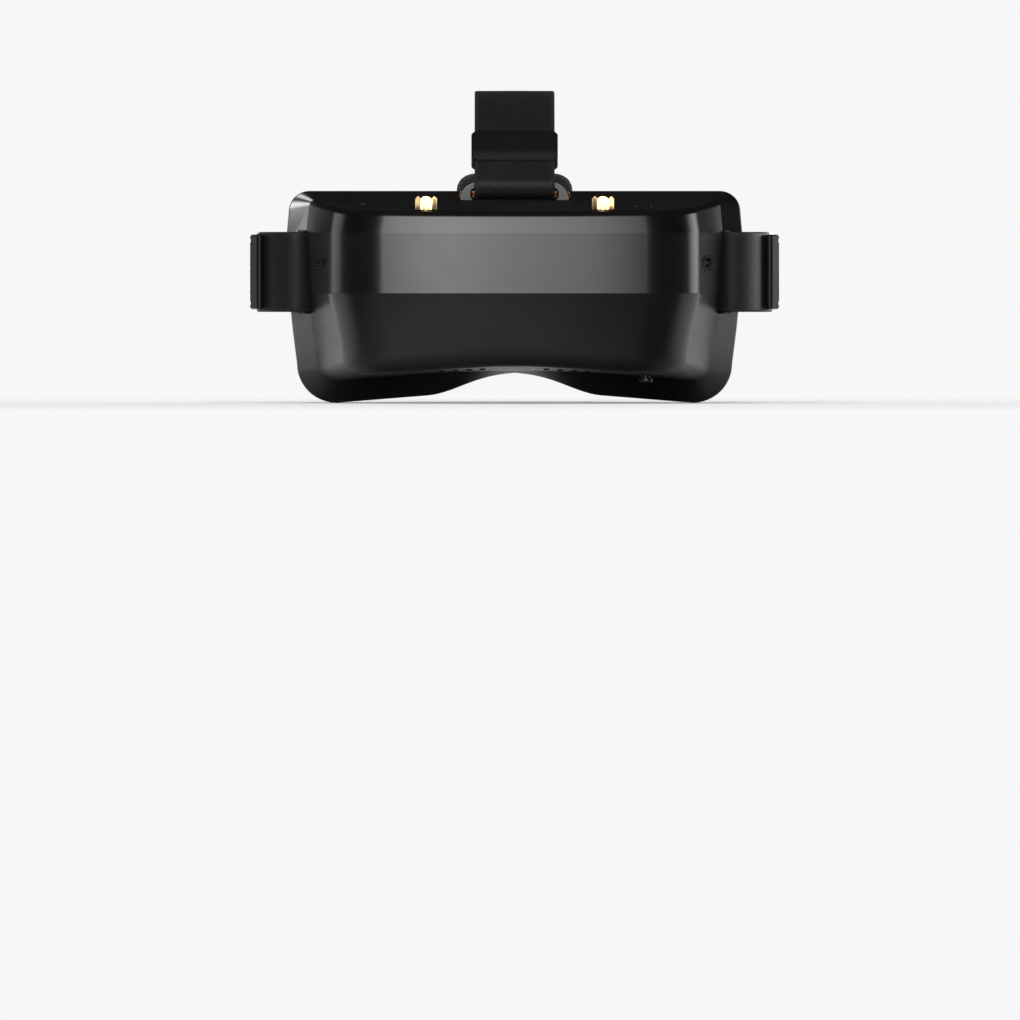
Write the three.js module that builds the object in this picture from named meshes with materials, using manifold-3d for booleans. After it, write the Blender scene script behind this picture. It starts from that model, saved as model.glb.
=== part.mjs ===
// Box-style FPV goggles with an elastic head harness, as an assembly of separate pieces.
// Millimetres, +Z up. The front of the housing faces -Y and the wearer's head is on the +Y side,
// so the wearer's left is +X. Everything is drawn with y = 0 on the rear frame's back plane; the
// exported group is then moved so that its origin is the middle of the assembly's base.
import * as THREE from "three";
import { mergeVertices } from "three/addons/utils/BufferGeometryUtils.js";
import Module from "manifold-3d";

const wasm = await Module();
wasm.setup();

// ---------------------------------------------------------------- driving dimensions
const GAP = 0.3; // between pieces that touch on the real object
const WALL = 2.2; // moulded shell thickness

const FRONT_Y = -92; // most forward point of the visor
const JOINT_Y = -15; // plane where the front shell meets the rear frame
const RIM_Y = -6; // where the frame's sloping rim ends
const LOW_CREASE_Z = 47.6; // fold between the visor's middle and lower bands
const HIGH_CREASE_Z = 74.2; // fold between the visor's middle and top bands
const CORNER_R = 30; // plan radius of the visor's vertical corners
const VISOR_R = 300; // plan radius of the visor's middle
const TOP_FILLET = 2.6;
const BOTTOM_FILLET = 7.5;
const SIDE_RUN = 47; // depth of the flat side wall behind the visor's corner

// Half widths and the visor's depth as [height, value] pairs.
const FLARE = [[8, 71.9], [LOW_CREASE_Z, 81], [HIGH_CREASE_Z, 81], [84, 79.6]];
const JOINT = [[8, 83], [30, 87.6], [LOW_CREASE_Z, 89.3], [HIGH_CREASE_Z, 90.7], [88.4, 88.8]];
const RIM = [[0, 92.7], [42, 98], [73, 99.6], [92.3, 97.4]];
const VISOR = [[8, -82], [LOW_CREASE_Z, FRONT_Y], [HIGH_CREASE_Z, -91.2], [88, -89]];

const JOINT_TOP_Z = 88.4;
const TOP_SLOPE = 0.069;
const RIM_TOP_Z = 92.3;
const RIM_BASE_X = 77; // where the rim touches the table
const RIM_BASE_RISE = 0.08; // slope of the rim's lower edge towards the nose
const NOSE = { crown: 13, reach: 38, power: 1.25 };

const EYE = { halfWidth: 82.5, low: 18.4, high: 80.8, lowR: 13, highR: 5.2 };
const FOAM = { from: 1.8, middle: 10.5, sides: 22.5 };

const STRAP_WIDTH = 35;
const STRAP_THICK = 1.8;
const STRAP_MID_Z = 57; // middle of the side straps
const PIN = { x: 90.2, y: -7.8, r: 1.2 }; // metal pin that a side strap is sewn round
const STRAP_OUT_X = 111.5; // furthest reach of a side strap's middle line
const PAD_STRAP_Y = 149.8; // middle of the webbing inside the rear pad
const PAD_LINING = { from: 146, to: 148.6 };
const PAD_COVER = { from: 151, to: 154 };

const CROWN = { y: 61.5, z: 47.1, r: 88 }; // arc of the top strap above the forehead
const FREE_END_R = CROWN.r - 2.6; // arc of the strap's folded-back end
const SLIDER = { angle: 43.6, half: 5.2, width: 37.7 };

const WINDOW = { halfWidth: 43.6, low: 23.3, high: 76 }; // visible picture
const DISPLAY = { halfWidth: 50.6, low: 18.7, high: 80.6, back: -62 };
const CLIPS = [-36.7, 0, 36.7]; // snap hooks along the display's lower bar
const BOARD = { front: -74.6, back: -73 };
const RAIL = { x0: 60, x1: 63, y0: -34, y1: -20 };
const ANTENNA = { x: 38.4, y: -78, acrossFlats: 8.2, top: 90 };

const POWER = { x: -66, y: -40, r: 3.4 };
const KEYS = [
  { name: "record_button", x: 52.5, y: -57, r: 2 },
  { name: "bind_button", x: 59.5, y: -57, r: 2 },
];
const LAMP = { x: 18.5, y: -66, r: 1.4 };
const NAV = { x: 57, y: -60, hole: 4.2 };
const VENTS = { first: 14, pitch: 6, count: 4, from: -58, to: -34, width: 2.4 };
const SPEAKER = { x: -74.5, y: -38, slots: 5, pitch: 2.4, length: 9, width: 1, turn: -0.5 };
const PORT_Z = 61;
const PORTS = { dc: -55, hdmi: -42, av: -29, usb: -52, card: -37 };

// ---------------------------------------------------------------- materials
const finishes = {
  shell: [0x1b1b1c, 0.45, 0],
  rim: [0x202021, 0.5, 0],
  dark: [0x0c0c0d, 0.7, 0],
  foam: [0xff8f35, 0.85, 0],
  hook: [0x151515, 0.95, 0],
  rubber: [0x111112, 0.6, 0],
  webbing: [0x1c1c1d, 0.6, 0],
  leather: [0x2a2a2a, 0.7, 0],
  gold: [0xd9a845, 0.22, 1],
  steel: [0xb4b6b8, 0.3, 1],
  ptfe: [0xf2f0ea, 0.5, 0],
  screen: [0x08090b, 0.2, 0],
  clear: [0xffffff, 0.05, 0],
  board: [0x0f3d24, 0.5, 0.1],
  aluminium: [0x8f9296, 0.4, 1],
  light: [0xd8e8ff, 0.3, 0],
};
const materials = new Map(
  Object.entries(finishes).map(([name, [color, roughness, metalness]]) => [
    name,
    new THREE.MeshStandardMaterial({ name, color, roughness, metalness }),
  ]),
);

// ---------------------------------------------------------------- solids
// A closed geometry as a manifold-3d solid.
function toSolid(geometry) {
  const bare = new THREE.BufferGeometry();
  const flat = geometry.index ? geometry.toNonIndexed() : geometry;
  bare.setAttribute("position", flat.getAttribute("position"));
  const merged = mergeVertices(bare, 1e-3);
  return new wasm.Manifold(
    new wasm.Mesh({
      numProp: 3,
      vertProperties: merged.attributes.position.array,
      triVerts: new Uint32Array(merged.index.array),
    }),
  );
}

function toGeometry(solid) {
  const mesh = solid.getMesh();
  const positions = new Float32Array(mesh.numVert * 3);
  for (let i = 0; i < mesh.numVert; i++) {
    const first = i * mesh.numProp;
    positions.set(mesh.vertProperties.subarray(first, first + 3), i * 3);
  }
  return new THREE.BufferGeometry()
    .setAttribute("position", new THREE.BufferAttribute(positions, 3))
    .setIndex(new THREE.BufferAttribute(mesh.triVerts, 1));
}

function cut(body, ...tools) {
  return toGeometry(tools.reduce((left, tool) => left.subtract(toSolid(tool)), toSolid(body)));
}

function join(...bodies) {
  return toGeometry(bodies.map(toSolid).reduce((a, b) => a.add(b)));
}

function common(a, b) {
  return toGeometry(toSolid(a).intersect(toSolid(b)));
}

// A box between two corners.
function block(x0, x1, y0, y1, z0, z1) {
  const middle = [(x0 + x1) / 2, (y0 + y1) / 2, (z0 + z1) / 2];
  return new THREE.BoxGeometry(Math.abs(x1 - x0), y1 - y0, z1 - z0).translate(...middle);
}

// Round bars along Z, Y and X.
function post(x, y, radius, z0, z1, sides = 20) {
  return new THREE.CylinderGeometry(radius, radius, z1 - z0, sides)
    .rotateX(Math.PI / 2)
    .translate(x, y, (z0 + z1) / 2);
}

// An upright hexagonal bar with one of its flats facing the front.
function hexBar(x, y, acrossFlats, z0, z1) {
  const radius = acrossFlats / Math.sqrt(3);
  return new THREE.CylinderGeometry(radius, radius, z1 - z0, 6)
    .rotateY(Math.PI / 6)
    .rotateX(Math.PI / 2)
    .translate(x, y, (z0 + z1) / 2);
}

function rod(x, z, radius, y0, y1, sides = 16) {
  return new THREE.CylinderGeometry(radius, radius, y1 - y0, sides).translate(x, (y0 + y1) / 2, z);
}

function bar(radius, x0, x1, sides = 16) {
  return new THREE.CylinderGeometry(radius, radius, x1 - x0, sides)
    .rotateZ(Math.PI / 2)
    .translate((x0 + x1) / 2, 0, 0);
}

// An outline [x, z, radius] with each corner rounded by an arc.
function rounded(corners, arcSteps = 5) {
  const points = [];
  corners.forEach(([x, z, radius], i) => {
    const here = new THREE.Vector2(x, z);
    const before = corners.at(i - 1);
    const after = corners[(i + 1) % corners.length];
    const back = new THREE.Vector2(before[0], before[1]).sub(here).normalize();
    const ahead = new THREE.Vector2(after[0], after[1]).sub(here).normalize();
    const half = Math.acos(THREE.MathUtils.clamp(back.dot(ahead), -1, 1)) / 2;
    if (radius === 0) {
      points.push(here);
      return;
    }
    const middle = back.clone().add(ahead).normalize();
    const centre = here.clone().addScaledVector(middle, radius / Math.sin(half));
    const start = here.clone().addScaledVector(back, radius / Math.tan(half)).sub(centre);
    const turn = (Math.PI - 2 * half) * Math.sign(ahead.cross(back));
    for (let k = 0; k <= arcSteps; k++) {
      const arm = start.clone().rotateAround(new THREE.Vector2(), (turn * k) / arcSteps);
      points.push(arm.add(centre));
    }
  });
  return points;
}

// Corners for x > 0, listed from the middle of the top down to the middle of the bottom,
// followed by their mirror images.
function mirrored(half) {
  return [...half, ...half.map(([x, z, r]) => [-x, z, r]).reverse()];
}

function window4({ halfWidth, low, high, lowR, highR }, grow = 0) {
  return rounded(
    mirrored([
      [halfWidth + grow, high + grow, highR + grow],
      [halfWidth + grow, low - grow, lowR + grow],
    ]),
    6,
  );
}

// An outline in x and z, drawn out along Y.
function slab(outline, y0, y1) {
  const options = { depth: y1 - y0, bevelEnabled: false };
  return new THREE.ExtrudeGeometry(new THREE.Shape(outline), options)
    .rotateX(Math.PI / 2)
    .translate(0, y1, 0);
}

// An outline in x and y, drawn upwards.
function upright(outline, z0, z1) {
  const options = { depth: z1 - z0, bevelEnabled: false };
  return new THREE.ExtrudeGeometry(new THREE.Shape(outline), options).translate(0, 0, z0);
}

// An outline in y and z, drawn out along X and centred.
function sideways(outline, width) {
  const options = { depth: width, bevelEnabled: false };
  return new THREE.ExtrudeGeometry(new THREE.Shape(outline), options)
    .rotateX(Math.PI / 2)
    .rotateZ(Math.PI / 2)
    .translate(-width / 2, 0, 0);
}

// A band of constant thickness along points in a plane, as an outline.
function band(points, thickness, perPoint) {
  const curve = new THREE.SplineCurve(points.map(([u, v]) => new THREE.Vector2(u, v)));
  const steps = (points.length - 1) * perPoint;
  const sides = [[], []];
  for (let i = 0; i <= steps; i++) {
    const p = curve.getPoint(i / steps);
    const t = curve.getTangent(i / steps);
    const n = new THREE.Vector2(-t.y, t.x).multiplyScalar(thickness / 2);
    sides[0].push(p.clone().add(n));
    sides[1].push(p.clone().sub(n));
  }
  return [...sides[0], ...sides[1].reverse()];
}

// A round wire through points [x, y, z].
function wire(points, radius, steps) {
  const path = new THREE.CatmullRomCurve3(points.map((p) => new THREE.Vector3(...p)));
  const section = new THREE.Shape();
  section.absarc(0, 0, radius, 0, 2 * Math.PI);
  const options = { extrudePath: path, steps, curveSegments: 4, bevelEnabled: false };
  return new THREE.ExtrudeGeometry(section, options);
}

// Triangles that close a ring whose points run along one long side and back along the other,
// as a ladder in x. `seam` is the number of points on the first side.
function ladder(ring, seam) {
  const near = [...Array(seam).keys()];
  const far = [...Array(ring.length - seam).keys()].map((i) => ring.length - 1 - i);
  const faces = [];
  let [i, j] = [0, 0];
  while (i + 1 < near.length || j + 1 < far.length) {
    const nearNext = i + 1 < near.length ? ring[near[i + 1]].x : Infinity;
    const farNext = j + 1 < far.length ? ring[far[j + 1]].x : Infinity;
    if (nearNext <= farNext) {
      faces.push([near[i], near[i + 1], far[j]]);
      i++;
    } else {
      faces.push([near[i], far[j + 1], far[j]]);
      j++;
    }
  }
  return faces;
}

// A skin over rings of equal length, with its two ends closed by `cap`. The rings run clockwise
// as seen from the first one's side.
function loft(rings, cap) {
  const positions = rings.flat().flatMap((p) => [p.x, p.y, p.z]);
  const count = rings[0].length;
  const faces = [];
  for (let r = 0; r + 1 < rings.length; r++) {
    for (let i = 0; i < count; i++) {
      const [a, b] = [r * count + i, r * count + ((i + 1) % count)];
      faces.push(a, b, b + count, a, b + count, a + count);
    }
  }
  const last = (rings.length - 1) * count;
  cap(rings[0]).forEach(([a, b, c]) => faces.push(c, b, a));
  cap(rings.at(-1)).forEach(([a, b, c]) => faces.push(last + a, last + b, last + c));
  const geometry = new THREE.BufferGeometry();
  geometry.setAttribute("position", new THREE.Float32BufferAttribute(positions, 3));
  geometry.setIndex(faces);
  return geometry;
}

const root = new THREE.Group();

function add(name, finish, geometry) {
  const mesh = new THREE.Mesh(geometry, materials.get(finish));
  mesh.name = name;
  root.add(mesh);
}

// ---------------------------------------------------------------- the housing's surfaces
// A value read from a table of [height, value] pairs by straight lines.
function at(table, z) {
  const above = table.findIndex(([level]) => level > z);
  const i = above < 1 ? (above === 0 ? 1 : table.length - 1) : above;
  const [z0, v0] = table[i - 1];
  const [z1, v1] = table[i];
  return v0 + ((v1 - v0) * (z - z0)) / (z1 - z0);
}

const topZ = (y) => JOINT_TOP_Z + (y - JOINT_Y) * TOP_SLOPE;

// The underside, arched in x, running from the joint forward to the visor's lower edge.
function bottomZ(x, y) {
  const joint = 13.8 - 0.00086 * x * x;
  const front = 13.3 + 1.65 * (1 + Math.cos(Math.PI * Math.min(1, Math.abs(x) / 60)));
  return THREE.MathUtils.lerp(joint, front, (JOINT_Y - y) / (JOINT_Y - FRONT_Y));
}

// The rim's lower edge, with the nose arch in its middle.
function rimBottomZ(x) {
  const base = Math.max(0, (RIM_BASE_X - Math.abs(x)) * RIM_BASE_RISE);
  const share = Math.min(1, Math.abs(x) / NOSE.reach) ** NOSE.power;
  const lift = NOSE.crown - RIM_BASE_X * RIM_BASE_RISE;
  return base + (lift * (1 + Math.cos(Math.PI * share))) / 2;
}

// Half a plan section of the housing at a height: along the back from the middle, round the
// side and the corner, and to the middle of the visor.
function planHalf(z, inset, rearY) {
  const side = at(FLARE, z) - inset;
  const joint = at(JOINT, z) - inset;
  const front = at(VISOR, z) + inset;
  const radius = CORNER_R - inset;
  const from = Math.atan2(joint - side, SIDE_RUN);
  const centreX = side - radius * Math.cos(from);
  const to = Math.PI / 2 - Math.asin((centreX * VISOR_R) / (VISOR_R - radius) / VISOR_R);
  const endX = centreX + radius * Math.cos(to);
  const centreY = front + (endX * endX) / (2 * VISOR_R) + radius * Math.sin(to);
  const cornerY = centreY - radius * Math.sin(from);
  const rear = joint + ((joint - side) * (rearY - JOINT_Y)) / (JOINT_Y - cornerY);
  const half = [0.2, 0.4, 0.6, 0.8, 1].map((share) => [rear * share, rearY]);
  const arcSteps = 9;
  for (let k = 0; k <= arcSteps; k++) {
    const angle = from + ((to - from) * k) / arcSteps;
    half.push([centreX + radius * Math.cos(angle), centreY - radius * Math.sin(angle)]);
  }
  for (const share of [0.7, 0.35]) {
    const x = endX * share;
    half.push([x, front + (x * x) / (2 * VISOR_R)]);
  }
  return { half, front, rearPoints: 5 };
}

// The housing as a solid, drawn inwards by a wall thickness and back to a plane.
function housing(wall, rearY) {
  const quarter = [0, 22.5, 45, 67.5, 90].map(THREE.MathUtils.degToRad);
  const rings = [];
  let seam = 0;
  const ring = (nominalZ, inset, height) => {
    const { half, front, rearPoints } = planHalf(nominalZ, inset, rearY);
    const left = half.map(([x, y]) => [-x, y]);
    const rear = [...left.slice(0, rearPoints).reverse(), [0, rearY], ...half.slice(0, rearPoints)];
    const visor = [...half.slice(rearPoints), [0, front], ...left.slice(rearPoints).reverse()];
    seam = rear.length;
    rings.push([...rear, ...visor].map(([x, y]) => new THREE.Vector3(x, y, height(x, y))));
  };
  const lowR = BOTTOM_FILLET - wall;
  const highR = Math.max(0.4, TOP_FILLET - wall);
  for (const turn of quarter) {
    const rise = wall + lowR * (1 - Math.cos(turn));
    ring(15 + rise, wall + lowR * (1 - Math.sin(turn)), (x, y) => bottomZ(x, y) + rise);
  }
  for (const z of [31, LOW_CREASE_Z, HIGH_CREASE_Z]) ring(z, wall, () => z);
  for (const turn of [quarter[0], quarter[2], quarter[4]]) {
    const drop = wall + highR * (1 - Math.sin(turn));
    ring(85 - drop, wall + highR * (1 - Math.cos(turn)), (_, y) => topZ(y) - drop);
  }
  return loft(rings.reverse(), (points) => ladder(points, seam));
}

// A closed outline in x and z with rounded corners and a shaped lower edge.
function faceOutline({ top, width, topR, bottomR, bottom }) {
  const arcSteps = 6;
  const half = [];
  const topX = at(width, top - topR) - topR;
  for (let k = 0; k <= arcSteps; k++) {
    const angle = (Math.PI / 2) * (1 - k / arcSteps);
    half.push([topX + topR * Math.cos(angle), top - topR + topR * Math.sin(angle)]);
  }
  for (const z of [HIGH_CREASE_Z - 3, LOW_CREASE_Z, 32]) half.push([at(width, z), z]);
  const lowZ = bottom(at(width, 20) - bottomR) + bottomR;
  const lowX = at(width, lowZ) - bottomR;
  for (let k = 0; k <= arcSteps; k++) {
    const angle = (-Math.PI / 2) * (k / arcSteps);
    half.push([lowX + bottomR * Math.cos(angle), lowZ + bottomR * Math.sin(angle)]);
  }
  for (const share of [0.75, 0.5, 0.42, 0.34, 0.26, 0.18, 0.09]) {
    half.push([lowX * share, bottom(lowX * share)]);
  }
  return [...half, [0, bottom(0)], ...half.map(([x, z]) => [-x, z]).reverse()];
}

const jointOutline = faceOutline({
  top: JOINT_TOP_Z,
  width: JOINT,
  topR: TOP_FILLET,
  bottomR: BOTTOM_FILLET,
  bottom: (x) => bottomZ(x, JOINT_Y),
});
const rimOutline = faceOutline({
  top: RIM_TOP_Z,
  width: RIM,
  topR: 9,
  bottomR: 17,
  bottom: rimBottomZ,
});

// Moves a piece drawn at the origin, with +X out of the wall and +Z up, onto a side wall.
function onSide(geometry, side, y, z) {
  const slope = (at(JOINT, z) - at(FLARE, z)) / SIDE_RUN;
  const lean = Math.atan(slope);
  const x = at(JOINT, z) + (y - JOINT_Y) * slope;
  return geometry.rotateZ(side > 0 ? -lean : Math.PI + lean).translate(side * x, y, z);
}

// ---------------------------------------------------------------- front shell
const BOSSES = [
  [84.8, 84.2],
  [80.4, 16.8],
].flatMap(([x, z]) => [
  [x, z],
  [-x, z],
]);

function frontShell() {
  const space = housing(0.8, JOINT_Y);
  const bosses = BOSSES.map(([x, z]) => common(rod(x, z, 2.6, -28, JOINT_Y, 12), space));
  const shell = join(cut(housing(0, JOINT_Y), housing(WALL, JOINT_Y + 1)), ...bosses);
  const tools = BOSSES.map(([x, z]) => rod(x, z, 1.45, -26.5, JOINT_Y + 1, 8));
  for (const side of [-1, 1]) {
    tools.push(post(side * ANTENNA.x, ANTENNA.y, 5.2, topZ(ANTENNA.y) - 0.6, 95, 24));
    tools.push(post(side * ANTENNA.x, ANTENNA.y, 3.5, 70, 95, 16));
    for (let i = 0; i < VENTS.count; i++) {
      const x = side * (VENTS.first + i * VENTS.pitch);
      tools.push(block(x - VENTS.width / 2, x + VENTS.width / 2, VENTS.from, VENTS.to, 5, 20));
    }
  }
  for (const key of [POWER, ...KEYS]) tools.push(post(key.x, key.y, key.r + GAP, 80, 95, 20));
  tools.push(post(LAMP.x, LAMP.y, LAMP.r + GAP, 80, 95, 12));
  tools.push(post(NAV.x, NAV.y, NAV.hole, 5, 18));
  tools.push(onSide(bar(4.4, -5, 2), 1, PORTS.dc, PORT_Z));
  tools.push(onSide(bar(3.2, -5, 2), 1, PORTS.av, PORT_Z));
  tools.push(onSide(block(-5, 2, -7.8, 7.8, -3, 3), 1, PORTS.hdmi, PORT_Z));
  tools.push(onSide(block(-5, 2, -4.9, 4.9, -2, 2), -1, PORTS.usb, PORT_Z));
  tools.push(onSide(block(-5, 2, -6.5, 6.5, -1.3, 1.3), -1, PORTS.card, PORT_Z));
  for (let i = 0; i < SPEAKER.slots; i++) {
    const along = (i - (SPEAKER.slots - 1) / 2) * SPEAKER.pitch;
    const slot = new THREE.BoxGeometry(SPEAKER.width, SPEAKER.length - Math.abs(along), 12);
    const [x, y] = [SPEAKER.x + along * 0.6, SPEAKER.y - along];
    tools.push(slot.rotateZ(SPEAKER.turn).translate(x, y, JOINT_TOP_Z));
  }
  return cut(shell, ...tools);
}
add("front_shell", "shell", frontShell());

// ---------------------------------------------------------------- rear frame and face seal
const NOTCH = { halfWidth: 24.7, floor: 86.8 };
const POCKET = { x0: 86.4, x1: 94.4, y1: -3.4, z0: 38.8, z1: 75.2 };

function rearFrame() {
  const ring = (outline, y) => outline.map(([x, z]) => new THREE.Vector3(x, y, z));
  const flat = (points) => {
    const across = points.map((p) => new THREE.Vector2(p.x, p.z));
    return THREE.ShapeUtils.triangulateShape(across, []).map((face) => face.sort((a, b) => a - b));
  };
  const sections = [[jointOutline, JOINT_Y + GAP], [rimOutline, RIM_Y], [rimOutline, 0]];
  const body = loft(sections.map(([outline, y]) => ring(outline, y)), flat);
  const tools = [slab(window4(EYE, 1.8), -20, 5)];
  for (const side of [-1, 1]) {
    tools.push(
      block(side * POCKET.x0, side * POCKET.x1, -16, POCKET.y1, POCKET.z0, POCKET.z1),
      post(side * PIN.x, PIN.y, PIN.r + GAP, STRAP_MID_Z - 20.1, STRAP_MID_Z + 20.1, 12),
    );
  }
  for (const [x, z] of BOSSES) {
    tools.push(rod(x, z, 1.45, -20, 5, 8));
    tools.push(rod(x, z, 2.5, -2.6, 5, 12));
  }
  tools.push(block(-NOTCH.halfWidth, NOTCH.halfWidth, -20, 5, NOTCH.floor, 99));
  return cut(body, ...tools);
}
add("rear_frame", "rim", rearFrame());

BOSSES.forEach(([x, z], i) => {
  const screw = join(rod(x, z, 1.15, -25.5, -2, 8), rod(x, z, 2.2, -2.2, -0.5, 12));
  const slots = [block(x - 1.4, x + 1.4, -1.2, 0, z - 0.3, z + 0.3)];
  slots.push(block(x - 0.3, x + 0.3, -1.2, 0, z - 1.4, z + 1.4));
  add(`frame_screw_${i + 1}`, "steel", cut(screw, ...slots));
});

// The C-shaped seal against the face, open at the nose, drawn smaller by `shrink` all round.
function seal(y0, y1, shrink) {
  const nose = [
    [31 + shrink, rimBottomZ(31) + shrink, 9],
    [20.6 + shrink, 11, 12],
    [20 + shrink, EYE.low + 6, 0],
  ];
  const side = rimOutline.filter(([x]) => x > 40).map(([x, z]) => {
    const inward = new THREE.Vector2(60 - x, EYE.low + 30 - z).normalize().multiplyScalar(shrink);
    return [x + inward.x, z + inward.y, 0];
  });
  const outer = rounded(mirrored([...side, ...nose]), 5);
  return cut(slab(outer, y0, y1), slab(window4(EYE, shrink), y0 - 1, y1 + 1));
}

// Everything in front of the curve that the face makes in plan.
function faceCurve() {
  const across = [-102, -80, -60, -40, -20, 0, 20, 40, 60, 80, 102];
  const rise = (x) => FOAM.middle + (FOAM.sides - FOAM.middle) * (x / 99) ** 2;
  const points = across.map((x) => new THREE.Vector2(x, rise(x)));
  return upright([...points, new THREE.Vector2(102, -5), new THREE.Vector2(-102, -5)], -5, 100);
}
add("face_foam", "foam", common(seal(FOAM.from, 40, 0), faceCurve()));
add("foam_hook_strip", "hook", seal(GAP, FOAM.from - GAP, 3.5));

function noseGuard() {
  const half = [19.5, 15, 10, 5].map((x) => [x, rimBottomZ(x)]);
  const low = [...half, [0, rimBottomZ(0)], ...half.map(([x, z]) => [-x, z]).reverse()];
  const outline = [[-19.5, EYE.low], ...low.reverse(), [19.5, EYE.low]];
  return slab(outline.map(([x, z]) => new THREE.Vector2(x, z)), GAP, FOAM.middle - 1);
}
add("nose_guard", "rubber", noseGuard());

// ---------------------------------------------------------------- picture: lens, display, boards
function lensRail(side) {
  const rail = block(side * RAIL.x0, side * RAIL.x1, RAIL.y0, RAIL.y1, 17, 83);
  return cut(rail, block(side * (RAIL.x0 - 1), side * (RAIL.x0 + 1.3), -28.4, -25.6, 16, 84));
}

function baffle(side) {
  const line = [[81.6, JOINT_Y - 0.6], [72, -58], [70.4, -58], [80, JOINT_Y - 0.6]];
  const outline = line.map(([x, y]) => new THREE.Vector2(side * x, y));
  const [bossX, bossZ] = BOSSES[2];
  return cut(upright(outline, 17.2, 82), rod(side * bossX, bossZ, 3, -30, JOINT_Y, 12));
}

for (const [name, side] of [["left", 1], ["right", -1]]) {
  add(`lens_rail_${name}`, "dark", lensRail(side));
  add(`side_baffle_${name}`, "dark", baffle(side));
}
add("lens", "clear", block(-61, 61, -28, -26, 19, 81));

function displayBezel() {
  const { halfWidth, low, high, back } = DISPLAY;
  const outer = block(-halfWidth, halfWidth, back - 9.6, back, low, high);
  const recess = block(-halfWidth + 2, halfWidth - 2, back - 20, back - 4, low + 1.4, high - 1.4);
  const sight = WINDOW.halfWidth;
  const view = block(-sight, sight, back - 20, back + 5, WINDOW.low, WINDOW.high);
  const [clipLow, clipHigh] = [low + 4, low + 6.2];
  const clips = CLIPS.map((x) => block(x - 0.8, x + 0.8, back - 2, back + 2, clipLow, clipHigh));
  return join(cut(outer, recess, view), ...clips);
}
add("display_bezel", "dark", displayBezel());
const panelHalf = DISPLAY.halfWidth - 2.3;
const panelZ = [DISPLAY.low + 1.8, DISPLAY.high - 1.8];
const panelY = DISPLAY.back - 4.3;
add("display_panel", "screen", block(-panelHalf, panelHalf, panelY - 2.4, panelY, ...panelZ));
add("backlight", "aluminium", block(-panelHalf, panelHalf, panelY - 4.8, panelY - 2.7, ...panelZ));
add("main_board", "board", block(-45, 45, BOARD.front, BOARD.back, 24, 76));

function withFins(x0, x1, y0, y1, z0, z1, fins) {
  const pitch = (x1 - x0) / fins;
  const grooves = [];
  for (let i = 1; i < fins; i++) {
    const x = x0 + i * pitch;
    grooves.push(block(x - pitch * 0.25, x + pitch * 0.25, y0 - 1, y1 - 1.2, z0 - 1, z1 + 1));
  }
  return cut(block(x0, x1, y0, y1, z0, z1), ...grooves);
}
add("receiver_module", "steel", block(-34, -10, -79.5, BOARD.front - GAP, 34, 62));
add("heat_sink", "aluminium", withFins(10, 34, -81, BOARD.front - GAP, 26, 45, 8));

const FAN = { x: 22, z: 60.5, y0: -82, y1: -75 };
function fanFrame() {
  const plate = block(FAN.x - 12.5, FAN.x + 12.5, FAN.y0, FAN.y1, FAN.z - 12.5, FAN.z + 12.5);
  const well = rod(FAN.x, FAN.z, 11.6, FAN.y0 - 1, FAN.y1 - 1, 28);
  const inlet = rod(FAN.x, FAN.z, 10, FAN.y0 - 1, FAN.y1 + 1, 28);
  const arms = block(FAN.x - 12, FAN.x + 12, FAN.y1 - 1, FAN.y1, FAN.z - 0.8, FAN.z + 0.8);
  return join(cut(plate, well, inlet), arms, rod(FAN.x, FAN.z, 1.2, FAN.y0 + 3, FAN.y1, 12));
}
add("fan_frame", "dark", fanFrame());

function fanRotor() {
  const hub = rod(FAN.x, FAN.z, 4.4, FAN.y0 + 0.8, FAN.y1 - 1.8, 20);
  const blades = [];
  for (let i = 0; i < 7; i++) {
    const blade = new THREE.BoxGeometry(7, 4, 0.7).rotateX(0.7).translate(7.2, -78.7, 0);
    blades.push(blade.rotateY((i / 7) * 2 * Math.PI).translate(FAN.x, 0, FAN.z));
  }
  return cut(join(hub, ...blades), rod(FAN.x, FAN.z, 1.5, FAN.y0 + 2, FAN.y1, 12));
}
add("fan_rotor", "dark", fanRotor());

// ---------------------------------------------------------------- aerial connectors
const COAX = {
  left: [
    [38.4, -78, 77.6], [38, -78.2, 75.9], [34, -78.8, 74.9], [18, -79.8, 74.6], [0, -80, 73.5],
    [-11, -79.2, 70], [-14, -78, 66], [-14, -77.6, 62.7],
  ],
  right: [
    [-38.4, -78, 77.6], [-38.2, -78.2, 74.5], [-35, -78.6, 70.5], [-31, -78.2, 67.5],
    [-29.5, -77.7, 65], [-29.5, -77.6, 62.7],
  ],
};
for (const [name, side] of [["left", 1], ["right", -1]]) {
  const x = side * ANTENNA.x;
  const seat = topZ(ANTENNA.y) - 0.3;
  const sleeve = hexBar(x, ANTENNA.y, ANTENNA.acrossFlats, seat, ANTENNA.top);
  const bore = post(x, ANTENNA.y, 3.4, 80, 95, 18);
  add(`antenna_sleeve_${name}`, "gold", cut(sleeve, bore));
  const barrel = join(
    post(x, ANTENNA.y, 3.1, 78, ANTENNA.top - 0.8, 18),
    hexBar(x, ANTENNA.y, ANTENNA.acrossFlats, 78, 81),
  );
  add(`antenna_jack_${name}`, "gold", cut(barrel, post(x, ANTENNA.y, 2.3, 79.5, 95, 14)));
  const core = post(x, ANTENNA.y, 2, 79.8, ANTENNA.top - 2, 14);
  add(`antenna_core_${name}`, "ptfe", cut(core, post(x, ANTENNA.y, 0.6, 84, 95, 8)));
  add(`coax_${name}`, "dark", wire(COAX[name], 0.7, 20));
}

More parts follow.
